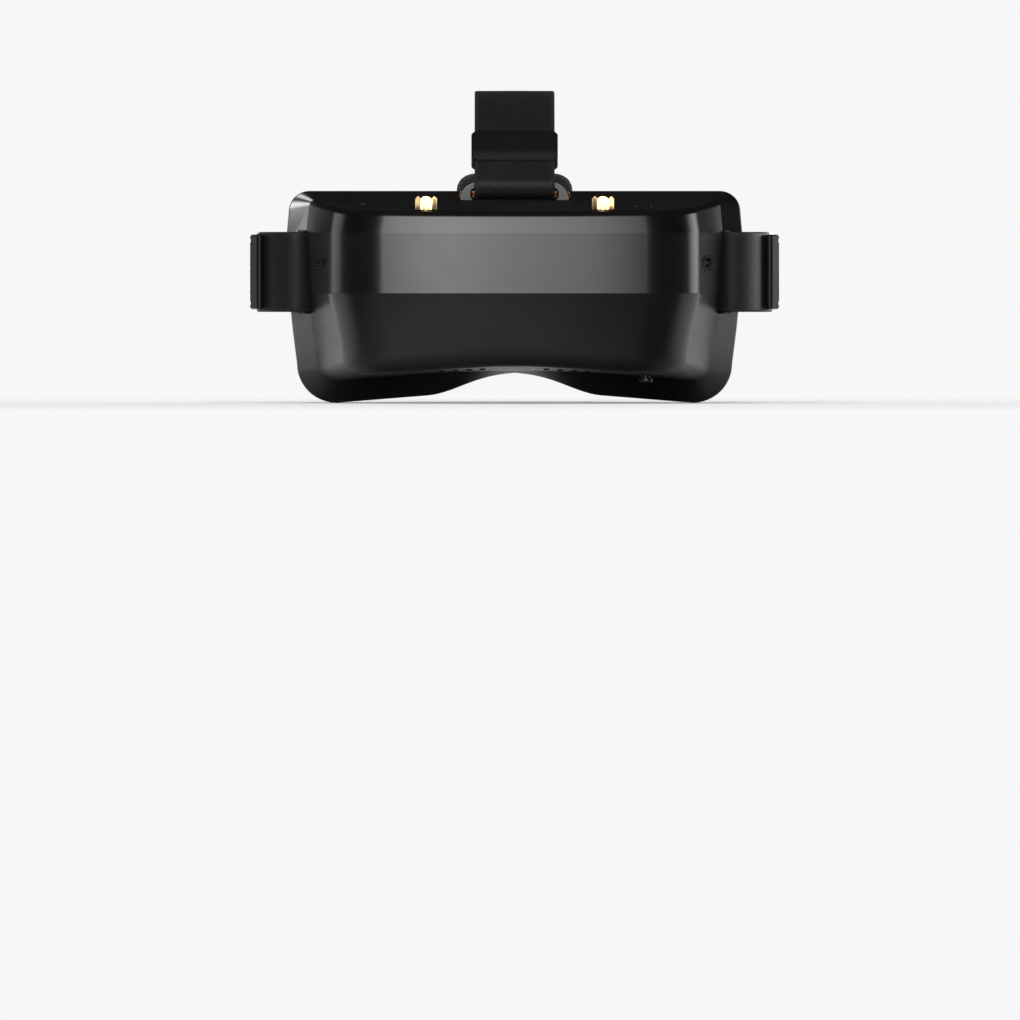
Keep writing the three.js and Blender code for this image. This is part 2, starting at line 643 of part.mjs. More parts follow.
// ---------------------------------------------------------------- ports on the side walls
function socket(outer, inner, tongue) {
  return join(cut(outer, inner), tongue);
}
const dcJack = socket(bar(4.1, -7.2, -0.5), bar(2.9, -6, 1), bar(0.95, -6.5, -1.6, 10));
const avJack = cut(bar(2.9, -7.2, -0.5), bar(1.8, -6, 1));
const hdmi = socket(
  block(-7.2, -0.5, -7.4, 7.4, -2.7, 2.7),
  block(-6, 1, -6.9, 6.9, -2.2, 2.2),
  block(-6.5, -1.6, -5.6, 5.6, -0.5, 0.5),
);
const usb = socket(
  block(-7.2, -0.5, -4.5, 4.5, -1.6, 1.6),
  block(-6, 1, -4.1, 4.1, -1.2, 1.2),
  block(-6.5, -1.6, -3.2, 3.2, -0.35, 0.35),
);
const cardSlot = cut(block(-7.2, -0.5, -6.1, 6.1, -0.95, 0.95), block(-6, 1, -5.6, 5.6, -0.5, 0.5));
add("dc_jack", "dark", onSide(dcJack, 1, PORTS.dc, PORT_Z));
add("hdmi_port", "steel", onSide(hdmi, 1, PORTS.hdmi, PORT_Z));
add("av_jack", "dark", onSide(avJack, 1, PORTS.av, PORT_Z));
add("usb_port", "steel", onSide(usb, -1, PORTS.usb, PORT_Z));
add("card_slot", "steel", onSide(cardSlot, -1, PORTS.card, PORT_Z));
add("port_board_left", "board", onSide(block(-8.4, -7.5, -17, 17, -7, 7), 1, PORTS.hdmi, PORT_Z));
add("port_board_right", "board", onSide(block(-8.4, -7.5, -14, 15, -5, 5), -1, -44, PORT_Z));

// ---------------------------------------------------------------- controls, light and speaker
function button({ x, y, r }) {
  const top = topZ(y) + 0.35;
  return join(post(x, y, r, 82.9, top), post(x, y, r + 0.8, 82.1, 83, 20));
}
add("power_button", "dark", button(POWER));
for (const key of KEYS) add(key.name, "dark", button(key));
add("status_light", "light", post(LAMP.x, LAMP.y, LAMP.r, 82.4, topZ(LAMP.y) - 0.2, 12));
const KEY_BOARD = [80.2, 81.2];
const powerBoard = block(POWER.x - 6, POWER.x + 6, POWER.y - 6, POWER.y + 6, ...KEY_BOARD);
add("key_board_right", "board", powerBoard);
add("key_board_left", "board", block(47, 66, -61, -53, ...KEY_BOARD));
const speakerBody = block(SPEAKER.x - 4, SPEAKER.x + 4, SPEAKER.y - 7, SPEAKER.y + 7, 82.3, 84);
add("speaker", "dark", speakerBody);

const NAV_Z = 17; // height of the joystick's tilting axes
function navRing() {
  const disc = post(NAV.x, NAV.y, 4, NAV_Z - 0.9, NAV_Z + 0.9);
  const trunnion = bar(0.5, -5, 5, 8).translate(NAV.x, NAV.y, NAV_Z);
  return cut(join(disc, trunnion), post(NAV.x, NAV.y, 2.4, 0, 30, 16));
}
add("nav_ring", "dark", navRing());
add("nav_stem", "steel", post(NAV.x, NAV.y, 1.1, 12.1, NAV_Z + 1.6, 14));
const navCap = join(post(NAV.x, NAV.y, 3.1, 9, 10.8), post(NAV.x, NAV.y, 2, 10.6, 13.2, 16));
add("nav_cap", "dark", cut(navCap, post(NAV.x, NAV.y, 1.4, 11.4, 14, 14)));
const navHousing = cut(
  block(NAV.x - 5.4, NAV.x + 5.4, NAV.y - 5.4, NAV.y + 5.4, 15.4, 22),
  block(NAV.x - 4.4, NAV.x + 4.4, NAV.y - 4.4, NAV.y + 4.4, 14, 21),
  block(NAV.x - 5.2, NAV.x + 5.2, NAV.y - 0.8, NAV.y + 0.8, 14, NAV_Z + 0.8),
);
add("nav_switch", "dark", navHousing);

// ---------------------------------------------------------------- top strap, its loop and slider
const BRACKET = { front: -10.2, back: -5.4, halfWidth: 24.2, top: 96.4 };
const SLOT = { halfWidth: 19.4, high: 92.9, low: 88.7 };
function topBracket() {
  const { front, back, halfWidth, top } = BRACKET;
  const arch = rounded(mirrored([[halfWidth, top, 8], [halfWidth, NOTCH.floor + GAP, 0]]), 7);
  const ends = [[SLOT.halfWidth, SLOT.high, 1.4], [SLOT.halfWidth, SLOT.low, 1.4]];
  const slot = rounded(mirrored(ends), 3);
  return cut(slab(arch, front, back), slab(slot, front - 1, back + 1));
}
add("top_strap_bracket", "rim", topBracket());

// A point on an arc over the head, from its angle off the vertical towards the forehead.
function crownPoint(radius, degrees) {
  const angle = THREE.MathUtils.degToRad(degrees);
  return [CROWN.y - radius * Math.sin(angle), CROWN.z + radius * Math.cos(angle)];
}

function topStrap() {
  const freeEnd = [30, 35, 40, 45, 50].map((angle) => crownPoint(FREE_END_R, angle));
  const clear = GAP + STRAP_THICK / 2;
  const [behind, ahead, under] = [BRACKET.back + clear, BRACKET.front - clear, SLOT.high - clear];
  const loop = [[behind, 97.5], [behind, 93.6], [behind - 0.8, under + 0.3], [-7.8, under]];
  loop.push([ahead + 0.8, under + 0.3], [ahead - 0.1, 93.6], [ahead - 0.1, 96]);
  const rise = [54.5, 50, 44, 38, 32, 24, 16, 8, 0].map((angle) => crownPoint(CROWN.r, angle));
  const nape = [0, 22, 45, 67, 90].map(THREE.MathUtils.degToRad).map((turn) => [
    95 + (PAD_STRAP_Y - 95) * Math.sin(turn),
    99 + (CROWN.z + CROWN.r - 99) * Math.cos(turn),
  ]);
  const points = [...freeEnd, ...loop, ...rise, ...nape, [PAD_STRAP_Y, 88], [PAD_STRAP_Y, 78]];
  return sideways(band(points, STRAP_THICK, 2), STRAP_WIDTH);
}
add("top_strap", "webbing", topStrap());

// A block that follows the crown arc between two radii and two angles.
function arcBlock(r0, r1, from, to, width) {
  const steps = 5;
  const angles = Array.from({ length: steps + 1 }, (_, i) => from + ((to - from) * i) / steps);
  const outer = angles.map((angle) => crownPoint(r1, angle));
  const inner = angles.map((angle) => crownPoint(r0, angle)).reverse();
  return sideways([...outer, ...inner].map(([y, z]) => new THREE.Vector2(y, z)), width);
}
function slider() {
  const [from, to] = [SLIDER.angle - SLIDER.half, SLIDER.angle + SLIDER.half];
  const frame = arcBlock(FREE_END_R - 3, CROWN.r + 3.2, from, to, SLIDER.width);
  return cut(frame, arcBlock(FREE_END_R - 1.4, CROWN.r + 1.3, from - 2, to + 2, STRAP_WIDTH + 0.8));
}
add("strap_slider", "dark", slider());

// ---------------------------------------------------------------- side straps, pins and pull tabs
// Plan points of a side strap from its sewn end round the pin to the rear pad.
function sideStrapPoints() {
  const r = PIN.r + GAP + STRAP_THICK / 2;
  const loop = [15, 60, 105, 150, 195, 240].map(THREE.MathUtils.degToRad).map((turn) => [
    PIN.x + r * Math.cos(turn),
    PIN.y + r * Math.sin(turn),
  ]);
  const turn = [0, 22, 45, 67, 90].map(THREE.MathUtils.degToRad).map((angle) => [
    94.5 + (STRAP_OUT_X - 94.5) * Math.sin(angle),
    15 - 27.2 * Math.cos(angle),
  ]);
  const back = [[111.5, 34], [111.3, 55], [109.6, 79], [105, 103], [97, 121.5], [86, 134.5]];
  back.push([72, 143.5], [58, 148.2], [45, PAD_STRAP_Y], [25, PAD_STRAP_Y], [4, PAD_STRAP_Y]);
  return [...loop, ...turn, ...back];
}

// A tab's plan: a rounded lip in front of a flat plate that lies on the strap.
const TAB = [
  [109.5, -2.2, 0.6], [111.2, -3.7, 1], [112.6, -2.6, 1], [115.1, 5, 2.2], [115.1, 34, 1.6],
  [112.7, 34, 0.6], [112.7, 11, 0], [111.6, 4, 0], [110.5, -0.6, 0],
];

for (const [name, side] of [["left", 1], ["right", -1]]) {
  const low = STRAP_MID_Z - STRAP_WIDTH / 2;
  const high = STRAP_MID_Z + STRAP_WIDTH / 2;
  add(`strap_pin_${name}`, "steel", post(side * PIN.x, PIN.y, PIN.r, low - 2.2, high + 2.2, 12));
  const strap = band(sideStrapPoints().map(([x, y]) => [side * x, y]), STRAP_THICK, 2);
  add(`side_strap_${name}`, "webbing", upright(strap, low, high));
  const tab = rounded(TAB.map(([x, y, r]) => [side * x, y, r]), 4);
  add(`pull_tab_${name}`, "rubber", upright(tab, STRAP_MID_Z - 16.3, STRAP_MID_Z + 16.3));
}

// ---------------------------------------------------------------- rear pad
function padOutline(grow) {
  return rounded(
    mirrored([
      [25.5 + grow, 100.1 + grow, 7.4],
      [25.5 + grow, 79.3 + grow, 6.6],
      [43.6 + grow, 79.3 + grow, 6],
      [43.6 + grow, 37.8 - grow, 1.8],
    ]),
    5,
  );
}
add("pad_cover", "leather", slab(padOutline(0), PAD_COVER.from, PAD_COVER.to));
add("pad_lining", "leather", slab(padOutline(-0.6), PAD_LINING.from, PAD_LINING.to));

// The group's origin is the middle of the whole assembly's base.
root.position.y = -(FRONT_Y + PAD_COVER.to) / 2;
export default root;
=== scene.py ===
"""Box-style FPV goggles with an elastic head harness, on a pale studio floor.

Lengths are millimetres, with y measured from the back plane of the rear frame (the front of the
goggles faces -Y). to_row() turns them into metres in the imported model's frame. +X is the wearer's left.
"""
import math

import bmesh
import bpy
import numpy as np
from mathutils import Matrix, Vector


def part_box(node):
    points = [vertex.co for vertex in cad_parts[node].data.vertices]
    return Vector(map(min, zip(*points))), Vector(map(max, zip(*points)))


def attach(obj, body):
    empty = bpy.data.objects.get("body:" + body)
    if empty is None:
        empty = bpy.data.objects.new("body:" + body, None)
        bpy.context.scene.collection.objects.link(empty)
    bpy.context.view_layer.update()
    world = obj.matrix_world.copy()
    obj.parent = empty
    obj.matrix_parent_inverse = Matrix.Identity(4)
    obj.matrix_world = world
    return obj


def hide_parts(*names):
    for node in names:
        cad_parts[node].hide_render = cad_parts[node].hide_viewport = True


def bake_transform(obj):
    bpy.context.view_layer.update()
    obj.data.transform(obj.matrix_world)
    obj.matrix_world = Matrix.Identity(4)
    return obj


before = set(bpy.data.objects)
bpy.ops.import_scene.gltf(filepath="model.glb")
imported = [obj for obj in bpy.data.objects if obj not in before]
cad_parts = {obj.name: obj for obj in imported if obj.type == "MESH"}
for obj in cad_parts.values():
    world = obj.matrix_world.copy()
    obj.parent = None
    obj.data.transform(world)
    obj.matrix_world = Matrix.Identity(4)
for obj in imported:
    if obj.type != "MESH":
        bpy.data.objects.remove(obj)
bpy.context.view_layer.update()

# ------------------------------------------------------------------ driving dimensions
MM = 0.001
BACK_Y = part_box("rear_frame")[1].y

GAP = 0.3
WALL = 2.2
FRONT_Y = -92
JOINT_Y = -15
RIM_Y = -6
LOW_CREASE_Z = 47.6
HIGH_CREASE_Z = 74.2
CREASE_HALF = 0.35  # half height of the rounding on each fold of the visor
CORNER_R = 30
VISOR_R = 300
TOP_FILLET = 2.6
BOTTOM_FILLET = 7.5
SIDE_RUN = 47

# Half widths and the visor's depth as (height, value) pairs.
FLARE = ((8, 71.9), (LOW_CREASE_Z, 81), (HIGH_CREASE_Z, 81), (84, 79.6))
JOINT = ((8, 83), (30, 87.6), (LOW_CREASE_Z, 89.3), (HIGH_CREASE_Z, 90.7), (88.4, 88.8))
RIM = ((0, 92.7), (42, 98), (73, 99.6), (92.3, 97.4))
VISOR = ((8, -82), (LOW_CREASE_Z, FRONT_Y), (HIGH_CREASE_Z, -91.2), (88, -89))

LOW_Z, HIGH_Z = 15, 85  # heights that the tables are read at for the two fillets
JOINT_TOP_Z = 88.4
TOP_SLOPE = 0.069
RIM_TOP_Z = 92.3
RIM_BASE_X = 77
RIM_BASE_RISE = 0.08
NOSE_CROWN, NOSE_REACH, NOSE_POWER = 13, 38, 1.25

EYE_HALF, EYE_LOW, EYE_HIGH, EYE_LOW_R, EYE_HIGH_R = 82.5, 18.4, 80.8, 13, 5.2
FOAM_FROM, FOAM_MIDDLE, FOAM_SIDES, FOAM_HALF = 1.8, 10.5, 22.5, 99
FOAM_BEVEL = 7.0
NOSE_HALF = 20.0

STRAP_WIDTH = 35.0
STRAP_THICK = 1.8
STRAP_MID_Z = 57.0
PIN_X, PIN_Y, PIN_R = 90.2, -7.8, 1.2
PIN_POCKET_X, PIN_POCKET_HALF = (86.4, 94.4), 18.2
STRAP_OUT_X = 111.5
PAD_STRAP_Y = 149.8
LINING_Y = (146.0, 148.6)
COVER_Y = (151.0, 154.0)
STITCH_INSET = 3.4
STITCH_PITCH = 3.1
STITCH_LENGTH = 1.9

CROWN_Y, CROWN_Z, CROWN_R = 61.5, 47.1, 88.0
FREE_END_R = CROWN_R - 2.6
SLIDER_ANGLE, SLIDER_HALF, SLIDER_WIDTH = 43.6, 5.2, 37.7
BRACKET_Y = (-10.2, -5.4)
BRACKET_HALF, BRACKET_TOP = 24.2, 96.4
SLOT_HALF, SLOT_LOW, SLOT_HIGH = 18.6, 88.7, 92.9
LOOP_SAG = 1.4  # slack of the top strap under the bracket's bar
NOTCH_FLOOR = 86.8

ANTENNA_X, ANTENNA_Y, ANTENNA_TOP, ANTENNA_FLATS = 38.4, -78.0, 90.0, 8.2
POWER = (-66.0, -40.0, 3.4)
KEYS = {"record": (52.5, -57.0, 2.0), "bind": (59.5, -57.0, 2.0)}
LAMP = (18.5, -66.0, 1.4)
NAV = (57.0, -60.0)
NAV_HOLE = 4.2
VENT_X, VENT_Y, VENT_WIDTH = (14, 20, 26, 32), (-58, -34), 2.4
SPEAKER_X, SPEAKER_Y, SPEAKER_PITCH, SPEAKER_TURN = -74.5, -38.0, 2.4, -0.5
PORT_Z = 61.0

TOP_PLATE_FLATNESS, TOP_PLATE_FROM = 0.985, 0.08  # upward part of its normal, and height in metres
HOLE_GRID = 2.31  # pitch of the perforations in the foam's fabric
HOLE_R = 0.42


# ------------------------------------------------------------------ meshes
def to_row(points):
    return np.asarray(points, float) * MM + (0, BACK_Y, 0)


def read(table, z):
    """A value read from (height, value) pairs by straight lines, carried on past both ends."""
    levels, values = np.array(table, float).T
    i = np.clip(np.searchsorted(levels, z, side="right") - 1, 0, len(levels) - 2)
    share = (z - levels[i]) / (levels[i + 1] - levels[i])
    return values[i] + share * (values[i + 1] - values[i])


def added(name, data):
    """A new object, linked to the scene."""
    obj = bpy.data.objects.new(name, data)
    bpy.context.scene.collection.objects.link(obj)
    return obj


def new_object(name, points, faces):
    """A mesh object from points in millimetres, with its faces turned outwards."""
    mesh = bpy.data.meshes.new(name)
    mesh.from_pydata(to_row(points).tolist(), [], faces)
    body = bmesh.new()
    body.from_mesh(mesh)
    bmesh.ops.recalc_face_normals(body, faces=body.faces)
    body.to_mesh(mesh)
    body.free()
    return added(name, mesh)


def ring_faces(rows, columns, caps=True, closed=False):
    """Quads over rows of closed rings, and one polygon on each end, or quads back to the first ring."""
    faces = []
    for r in range(rows if closed else rows - 1):
        low, high = r * columns, (r + 1) % rows * columns
        for i in range(columns):
            j = (i + 1) % columns
            faces.append((low + i, low + j, high + j, high + i))
    if caps:
        last = (rows - 1) * columns
        faces.append(tuple(range(columns - 1, -1, -1)))
        faces.append(tuple(range(last, last + columns)))
    return faces


def loft(name, rings, closed=False):
    rings = np.asarray(rings, float)
    faces = ring_faces(*rings.shape[:2], caps=not closed, closed=closed)
    return new_object(name, rings.reshape(-1, 3), faces)


def joined(name, objects):
    """One object from several, as separate closed shells."""
    body = bmesh.new()
    for obj in objects:
        body.from_mesh(obj.data)
        bpy.data.objects.remove(obj)
    mesh = bpy.data.meshes.new(name)
    body.to_mesh(mesh)
    body.free()
    return added(name, mesh)


def apply_modifiers(obj):
    graph = bpy.context.evaluated_depsgraph_get()
    mesh = bpy.data.meshes.new_from_object(obj.evaluated_get(graph))
    obj.modifiers.clear()
    obj.data = mesh
    return obj


def boolean(obj, operation, *tools):
    for tool in tools:
        modifier = obj.modifiers.new("Boolean", "BOOLEAN")
        modifier.operation = operation
        modifier.solver = "EXACT"
        modifier.object = tool
        apply_modifiers(obj)
        bpy.data.objects.remove(tool)
    return obj


def softened_edges(obj, width=0.25, segments=2, limit=32):
    """Rounds the sharp edges by a few tenths of a millimetre, so that they catch the light."""
    bevel = obj.modifiers.new("Edges", "BEVEL")
    bevel.width = width * MM
    bevel.segments = segments
    bevel.limit_method = "ANGLE"
    bevel.angle_limit = math.radians(limit)
    return smooth(obj, 38)


def smooth(obj, angle=38):
    obj.data.shade_smooth()
    obj.data.set_sharp_from_angle(angle=math.radians(angle))
    weighted = obj.modifiers.new("Normals", "WEIGHTED_NORMAL")
    weighted.keep_sharp = True
    return obj


def subdivided(obj, levels=1):
    obj.data.shade_smooth()
    modifier = obj.modifiers.new("Subdivision", "SUBSURF")
    modifier.levels = modifier.render_levels = levels
    return obj


def points_of(obj):
    co = np.zeros(len(obj.data.vertices) * 3)
    obj.data.vertices.foreach_get("co", co)
    return co.reshape(-1, 3)


def put_points(obj, points):
    obj.data.vertices.foreach_set("co", np.asarray(points, float).ravel())
    obj.data.update()


def lay(obj, coordinates):
    """Stores the cloth's own coordinates, in millimetres, for its weave to follow."""
    attribute = obj.data.attributes.new("lay", "FLOAT_VECTOR", "POINT")
    attribute.data.foreach_set("vector", np.asarray(coordinates, np.float32).ravel())


def length_along(points):
    """The length of a line up to each of its points."""
    return np.concatenate([[0], np.cumsum(np.linalg.norm(np.diff(points, axis=0), axis=1))])


def arc(u, v, radius, start, end, steps):
    turn = np.linspace(start, end, steps + 1)
    return [(u + radius * math.cos(a), v + radius * math.sin(a)) for a in turn]


def rounded(corners, steps=8):
    """A closed outline of (u, v, radius) corners, each rounded by an arc."""
    out = []
    count = len(corners)
    for i, (u, v, radius) in enumerate(corners):
        here = np.array((u, v), float)
        back = np.array(corners[i - 1][:2]) - here
        ahead = np.array(corners[(i + 1) % count][:2]) - here
        back /= np.linalg.norm(back)
        ahead /= np.linalg.norm(ahead)
        half = math.acos(np.clip(back @ ahead, -1, 1)) / 2
        if radius == 0:
            out.append(here)
            continue
        middle = (back + ahead) / np.linalg.norm(back + ahead)
        centre = here + middle * radius / math.sin(half)
        start = here + back * radius / math.tan(half) - centre
        turn = (math.pi - 2 * half) * np.sign(ahead[0] * back[1] - ahead[1] * back[0])
        for k in range(steps + 1):
            c, s = math.cos(turn * k / steps), math.sin(turn * k / steps)
            out.append(centre + (c * start[0] - s * start[1], s * start[0] + c * start[1]))
    return np.array(out)


def mirrored(half):
    """Corners for +X from the middle of the top round to the bottom, and their mirror images."""
    return [*half, *[(-u, v, r) for u, v, r in reversed(half)]]


def outward(outline):
    """Unit normals of a closed outline, scaled so that moving by them keeps its sides parallel."""
    before = outline - np.roll(outline, 1, 0)
    after = np.roll(outline, -1, 0) - outline
    normals = []
    for a, b in zip(before, after):
        a, b = a / max(np.linalg.norm(a), 1e-9), b / max(np.linalg.norm(b), 1e-9)
        n = np.array((a[1] + b[1], -a[0] - b[0]))
        n /= max(np.linalg.norm(n), 1e-9)
        normals.append(n / max(0.5, n @ (b[1], -b[0])))
    area = np.sum(outline[:, 0] * np.roll(outline[:, 1], -1) - np.roll(outline[:, 0], -1) * outline[:, 1])
    return np.array(normals) * np.sign(area)


def grown(outline, amount):
    return outline + outward(outline) * amount


def circle(radius, count=32):
    turn = np.linspace(0, 2 * math.pi, count, endpoint=False)
    return np.column_stack([np.cos(turn), np.sin(turn)]) * radius


def box_outline(half_u, half_v, radius, steps=5):
    corners = [(half_u, half_v, radius), (half_u, -half_v, radius)]
    return rounded(mirrored(corners), steps)


def solid(name, outline, levels, place):
    """A closed solid through copies of an outline, each (height, growth), put in space by `place`."""
    rings = []
    for height, growth in levels:
        shape = grown(outline, growth)
        rings.append([place(u, v, height) for u, v in shape])
    return loft(name, rings)


# Places for an outline in plan on the top and underside, and for one in x and z facing the back.
def on_top(x0, y0):
    return lambda u, v, w: (x0 + u, y0 + v, top_z(y0 + v) + w)


def on_bottom(x0, y0):
    return lambda u, v, w: (x0 + u, y0 + v, bottom_z(x0 + u, y0 + v) + w)


def facing_back(u, v, w):
    return (u, w, v)


def on_side(side, y, z):
    """Places (along the wall, up, outwards) on a side wall."""
    slope = (read(JOINT, z) - read(FLARE, z)) / SIDE_RUN
    lean = math.atan(slope)
    turn = -lean if side > 0 else math.pi + lean
    x = side * (read(JOINT, z) + (y - JOINT_Y) * slope)
    c, s = math.cos(turn), math.sin(turn)
    return lambda u, v, w: (x + w * c - u * s, y + w * s + u * c, z + v)


# ------------------------------------------------------------------ materials
class Surface:
    """A Principled material. Even values are set on the shader; only patterns are linked."""

    def __init__(self, name, colour=None, **values):
        self.material = bpy.data.materials.new(name)
        self.material.use_nodes = True
        self.tree = self.material.node_tree
        self.shader = self.tree.nodes["Principled BSDF"]
        if colour is not None:
            self.feed(self.shader.inputs["Base Color"], colour)
            self.material.diffuse_color = (*colour[:3], 1)
        for key, value in values.items():
            self.feed(self.shader.inputs[key.replace("_", " ")], value)

    def feed(self, socket, value):
        if isinstance(value, bpy.types.NodeSocket):
            self.tree.links.new(value, socket)
        elif hasattr(socket.default_value, "__len__") and len(socket.default_value) == 4:
            socket.default_value = (*value[:3], 1)
        else:
            socket.default_value = value

    def node(self, kind, inputs=(), **settings):
        made = self.tree.nodes.new("ShaderNode" + kind)
        for key, value in settings.items():
            setattr(made, key, value)
        for key, value in dict(inputs).items():
            self.feed(made.inputs[key], value)
        return made

    def place(self):
        """Object coordinates, in metres."""
        return self.node("TexCoord").outputs["Object"]

    def laid(self):
        """The cloth's own coordinates, in millimetres."""
        return self.node("Attribute", attribute_name="lay").outputs["Vector"]

    def noise(self, where, scale, detail=2.0, rough=0.5):
        inputs = {"Vector": where, "Scale": scale, "Detail": detail, "Roughness": rough}
        return self.node("TexNoise", inputs).outputs["Fac"]

    def mapped(self, value, low, high, to_low, to_high):
        inputs = {0: value, 1: low, 2: high, 3: to_low, 4: to_high}
        return self.node("MapRange", inputs).outputs[0]

    def math(self, operation, a, b=0.0, clamp=False):
        return self.node("Math", {0: a, 1: b}, operation=operation, use_clamp=clamp).outputs[0]

    def colours(self, value, *stops):
        """A colour read from (position, colour) stops."""
        ramp = self.node("ValToRGB", {"Fac": value})
        elements = ramp.color_ramp.elements
        while len(elements) < len(stops):
            elements.new(0.5)
        for element, (position, colour) in zip(elements, stops):
            element.position = position
            element.color = (*colour, 1)
        return ramp.outputs["Color"]

    def mix(self, share, a, b):
        made = self.node("Mix", data_type="RGBA")
        self.feed(made.inputs[0], share)
        self.feed(made.inputs[6], a)
        self.feed(made.inputs[7], b)
        return made.outputs[2]

    def part(self, vector, axis):
        return self.node("SeparateXYZ", {0: vector}).outputs[axis]

    def bricks(self, where, width, height, mortar, colours, offset=0.5, **more):
        """Rows of bricks, for a weave or a board's tracks; the colours are two bricks' and the mortar's."""
        first, second, gap = colours
        inputs = {"Vector": where, "Scale": 1.0, "Brick Width": width, "Row Height": height,
                  "Mortar Size": mortar, "Color1": first, "Color2": second, "Mortar": gap, **more}
        return self.node("TexBrick", inputs, offset=offset).outputs["Color"]

    def shaded(self, value, colour, spread, low, high):
        """A colour that goes from darker to lighter as the value goes from low to high."""
        ends = [tuple(c * (1 + sign * spread) for c in colour) for sign in (-1, 1)]
        return self.colours(value, (low, ends[0]), (high, ends[1]))

    def relief(self, height, depth, strength=1.0, after=None):
        """Bump of a height from 0 to 1, `depth` millimetres deep."""
        inputs = {"Height": height, "Distance": depth * MM, "Strength": strength}
        if after is not None:
            inputs["Normal"] = after
        return self.node("Bump", inputs).outputs["Normal"]

    def use(self, **inputs):
        for key, value in inputs.items():
            self.feed(self.shader.inputs[key.replace("_", " ")], value)
        return self.material


def grey(shade):
    return (shade, shade, shade)


def moulded(name, colour, roughness, grain=0.02, grain_scale=2600, smudge=0.05, shine=0.5, bite=0.6):
    """Injection-moulded plastic: a fine spark-eroded grain, and handling marks in the gloss."""
    s = Surface(name, Specular_IOR_Level=shine)
    where = s.place()
    cloud = s.noise(where, 34, 3)
    fine = s.noise(where, grain_scale, 2, 0.6)
    tone = s.shaded(cloud, colour, 0.22, 0.3, 0.72)
    marks = s.noise(where, 120, 5, 0.65)
    gloss = s.mapped(marks, 0.3, 0.75, roughness - smudge * 0.5, roughness + smudge)
    return s.use(Base_Color=tone, Roughness=gloss, Normal=s.relief(fine, grain, bite), IOR=1.5)


def metal(name, colour, roughness, brushed=(60, 60, 900), scratch=0.4):
    s = Surface(name, Metallic=1.0)
    where = s.place()
    stretched = s.node("Mapping", {"Vector": where, "Scale": brushed}).outputs[0]
    lines = s.noise(stretched, 6, 4, 0.6)
    patina = s.noise(where, 260, 3)
    tone = s.shaded(patina, colour, 0.14, 0.35, 0.7)
    gloss = s.mapped(lines, 0.3, 0.7, roughness * 0.7, roughness * 1.5)
    return s.use(Base_Color=tone, Roughness=gloss, Normal=s.relief(lines, 0.01, scratch))


def perforated():
    """Orange micro-fibre, punched in a square grid, over soft foam."""
    s = Surface("face_fabric", Roughness=0.82, Sheen_Weight=0.35, Sheen_Roughness=0.45, IOR=1.4)
    s.feed(s.shader.inputs["Sheen Tint"], (1.0, 0.62, 0.35))
    cloth = s.laid()
    across = s.part(s.place(), 0)
    cell = s.node(
        "TexVoronoi",
        {"Vector": cloth, "Scale": 1 / HOLE_GRID, "Randomness": 0.0},
        voronoi_dimensions="2D",
    ).outputs["Distance"]
    edge = HOLE_R / HOLE_GRID
    hole = s.mapped(cell, edge * 0.88, edge * 1.1, 1.0, 0.0)
    dimple = s.mapped(cell, edge * 0.7, edge * 2.4, 1.0, 0.0)
    # Painted side light: the seal is a lighter, yellower orange towards -X, where more light fell, and a
    # deeper orange towards +X.
    lit = s.colours(
        s.mapped(across, -0.1, 0.1, 0.0, 1.0),
        (0.0, (0.98, 0.37, 0.065)),
        (0.45, (0.95, 0.29, 0.05)),
        (1.0, (0.93, 0.23, 0.036)),
    )
    mottled = s.mix(s.mapped(s.noise(cloth, 0.12, 3), 0.35, 0.7, 0.0, 0.14), lit, (0.62, 0.13, 0.02))
    # Painted shade: a darker orange in the shallow dimple round each hole.
    dust_and_dimple_shade = s.mix(s.math("MULTIPLY", dimple, 0.2), mottled, (0.6, 0.12, 0.02))
    # The holes are real; their near-black colour is painted shade inside them.
    tone = s.mix(hole, dust_and_dimple_shade, (0.008, 0.005, 0.004))
    knit = s.bricks(cloth, 0.42, 0.3, 0.06, (grey(1), grey(0.8), grey(0)), **{"Mortar Smooth": 1.0})
    woven = s.relief(knit, 0.06, 0.45)
    puckered = s.relief(s.noise(cloth, 0.09, 3), 0.9, 0.35, woven)
    return s.use(Base_Color=tone, Normal=s.relief(s.math("SUBTRACT", 1.0, dimple), 0.28, 0.9, puckered))


def webbing():
    """Flat woven elastic: rows of yarn along the strap, with a tighter edge band, lighter in colour as a
    painted highlight on the strap's rounded edges.
    """
    s = Surface("webbing", Sheen_Weight=0.02, Sheen_Roughness=0.4, Specular_IOR_Level=0.3, IOR=1.46)
    s.feed(s.shader.inputs["Sheen Tint"], (0.75, 0.77, 0.8))
    cloth = s.laid()
    yarn = s.bricks(cloth, 1.5, 0.72, 0.14, (grey(1), grey(0.72), grey(0)), **{"Mortar Smooth": 1.0})
    across = s.math("ABSOLUTE", s.part(cloth, 1))
    # The lighter edge colour is partly the tighter edge weave and partly a painted highlight on the rounded
    # edges.
    selvedge_highlight = s.mapped(across, STRAP_WIDTH / 2 - 1.6, STRAP_WIDTH / 2 - 1.2, 0.0, 1.0)
    body = s.colours(yarn, (0.1, (0.0022, 0.0022, 0.0025)), (0.9, (0.0075, 0.0075, 0.008)))
    tone = s.mix(selvedge_highlight, body, (0.012, 0.012, 0.0125))
    dust_and_dimple_shade = s.mix(s.mapped(s.noise(cloth, 0.05, 4), 0.4, 0.75, 0.0, 0.3), tone, (0.013, 0.013, 0.0135))
    gloss = s.mapped(yarn, 0.0, 1.0, 0.6, 0.44)
    return s.use(Base_Color=dust_and_dimple_shade, Roughness=gloss, Normal=s.relief(yarn, 0.2, 0.6))


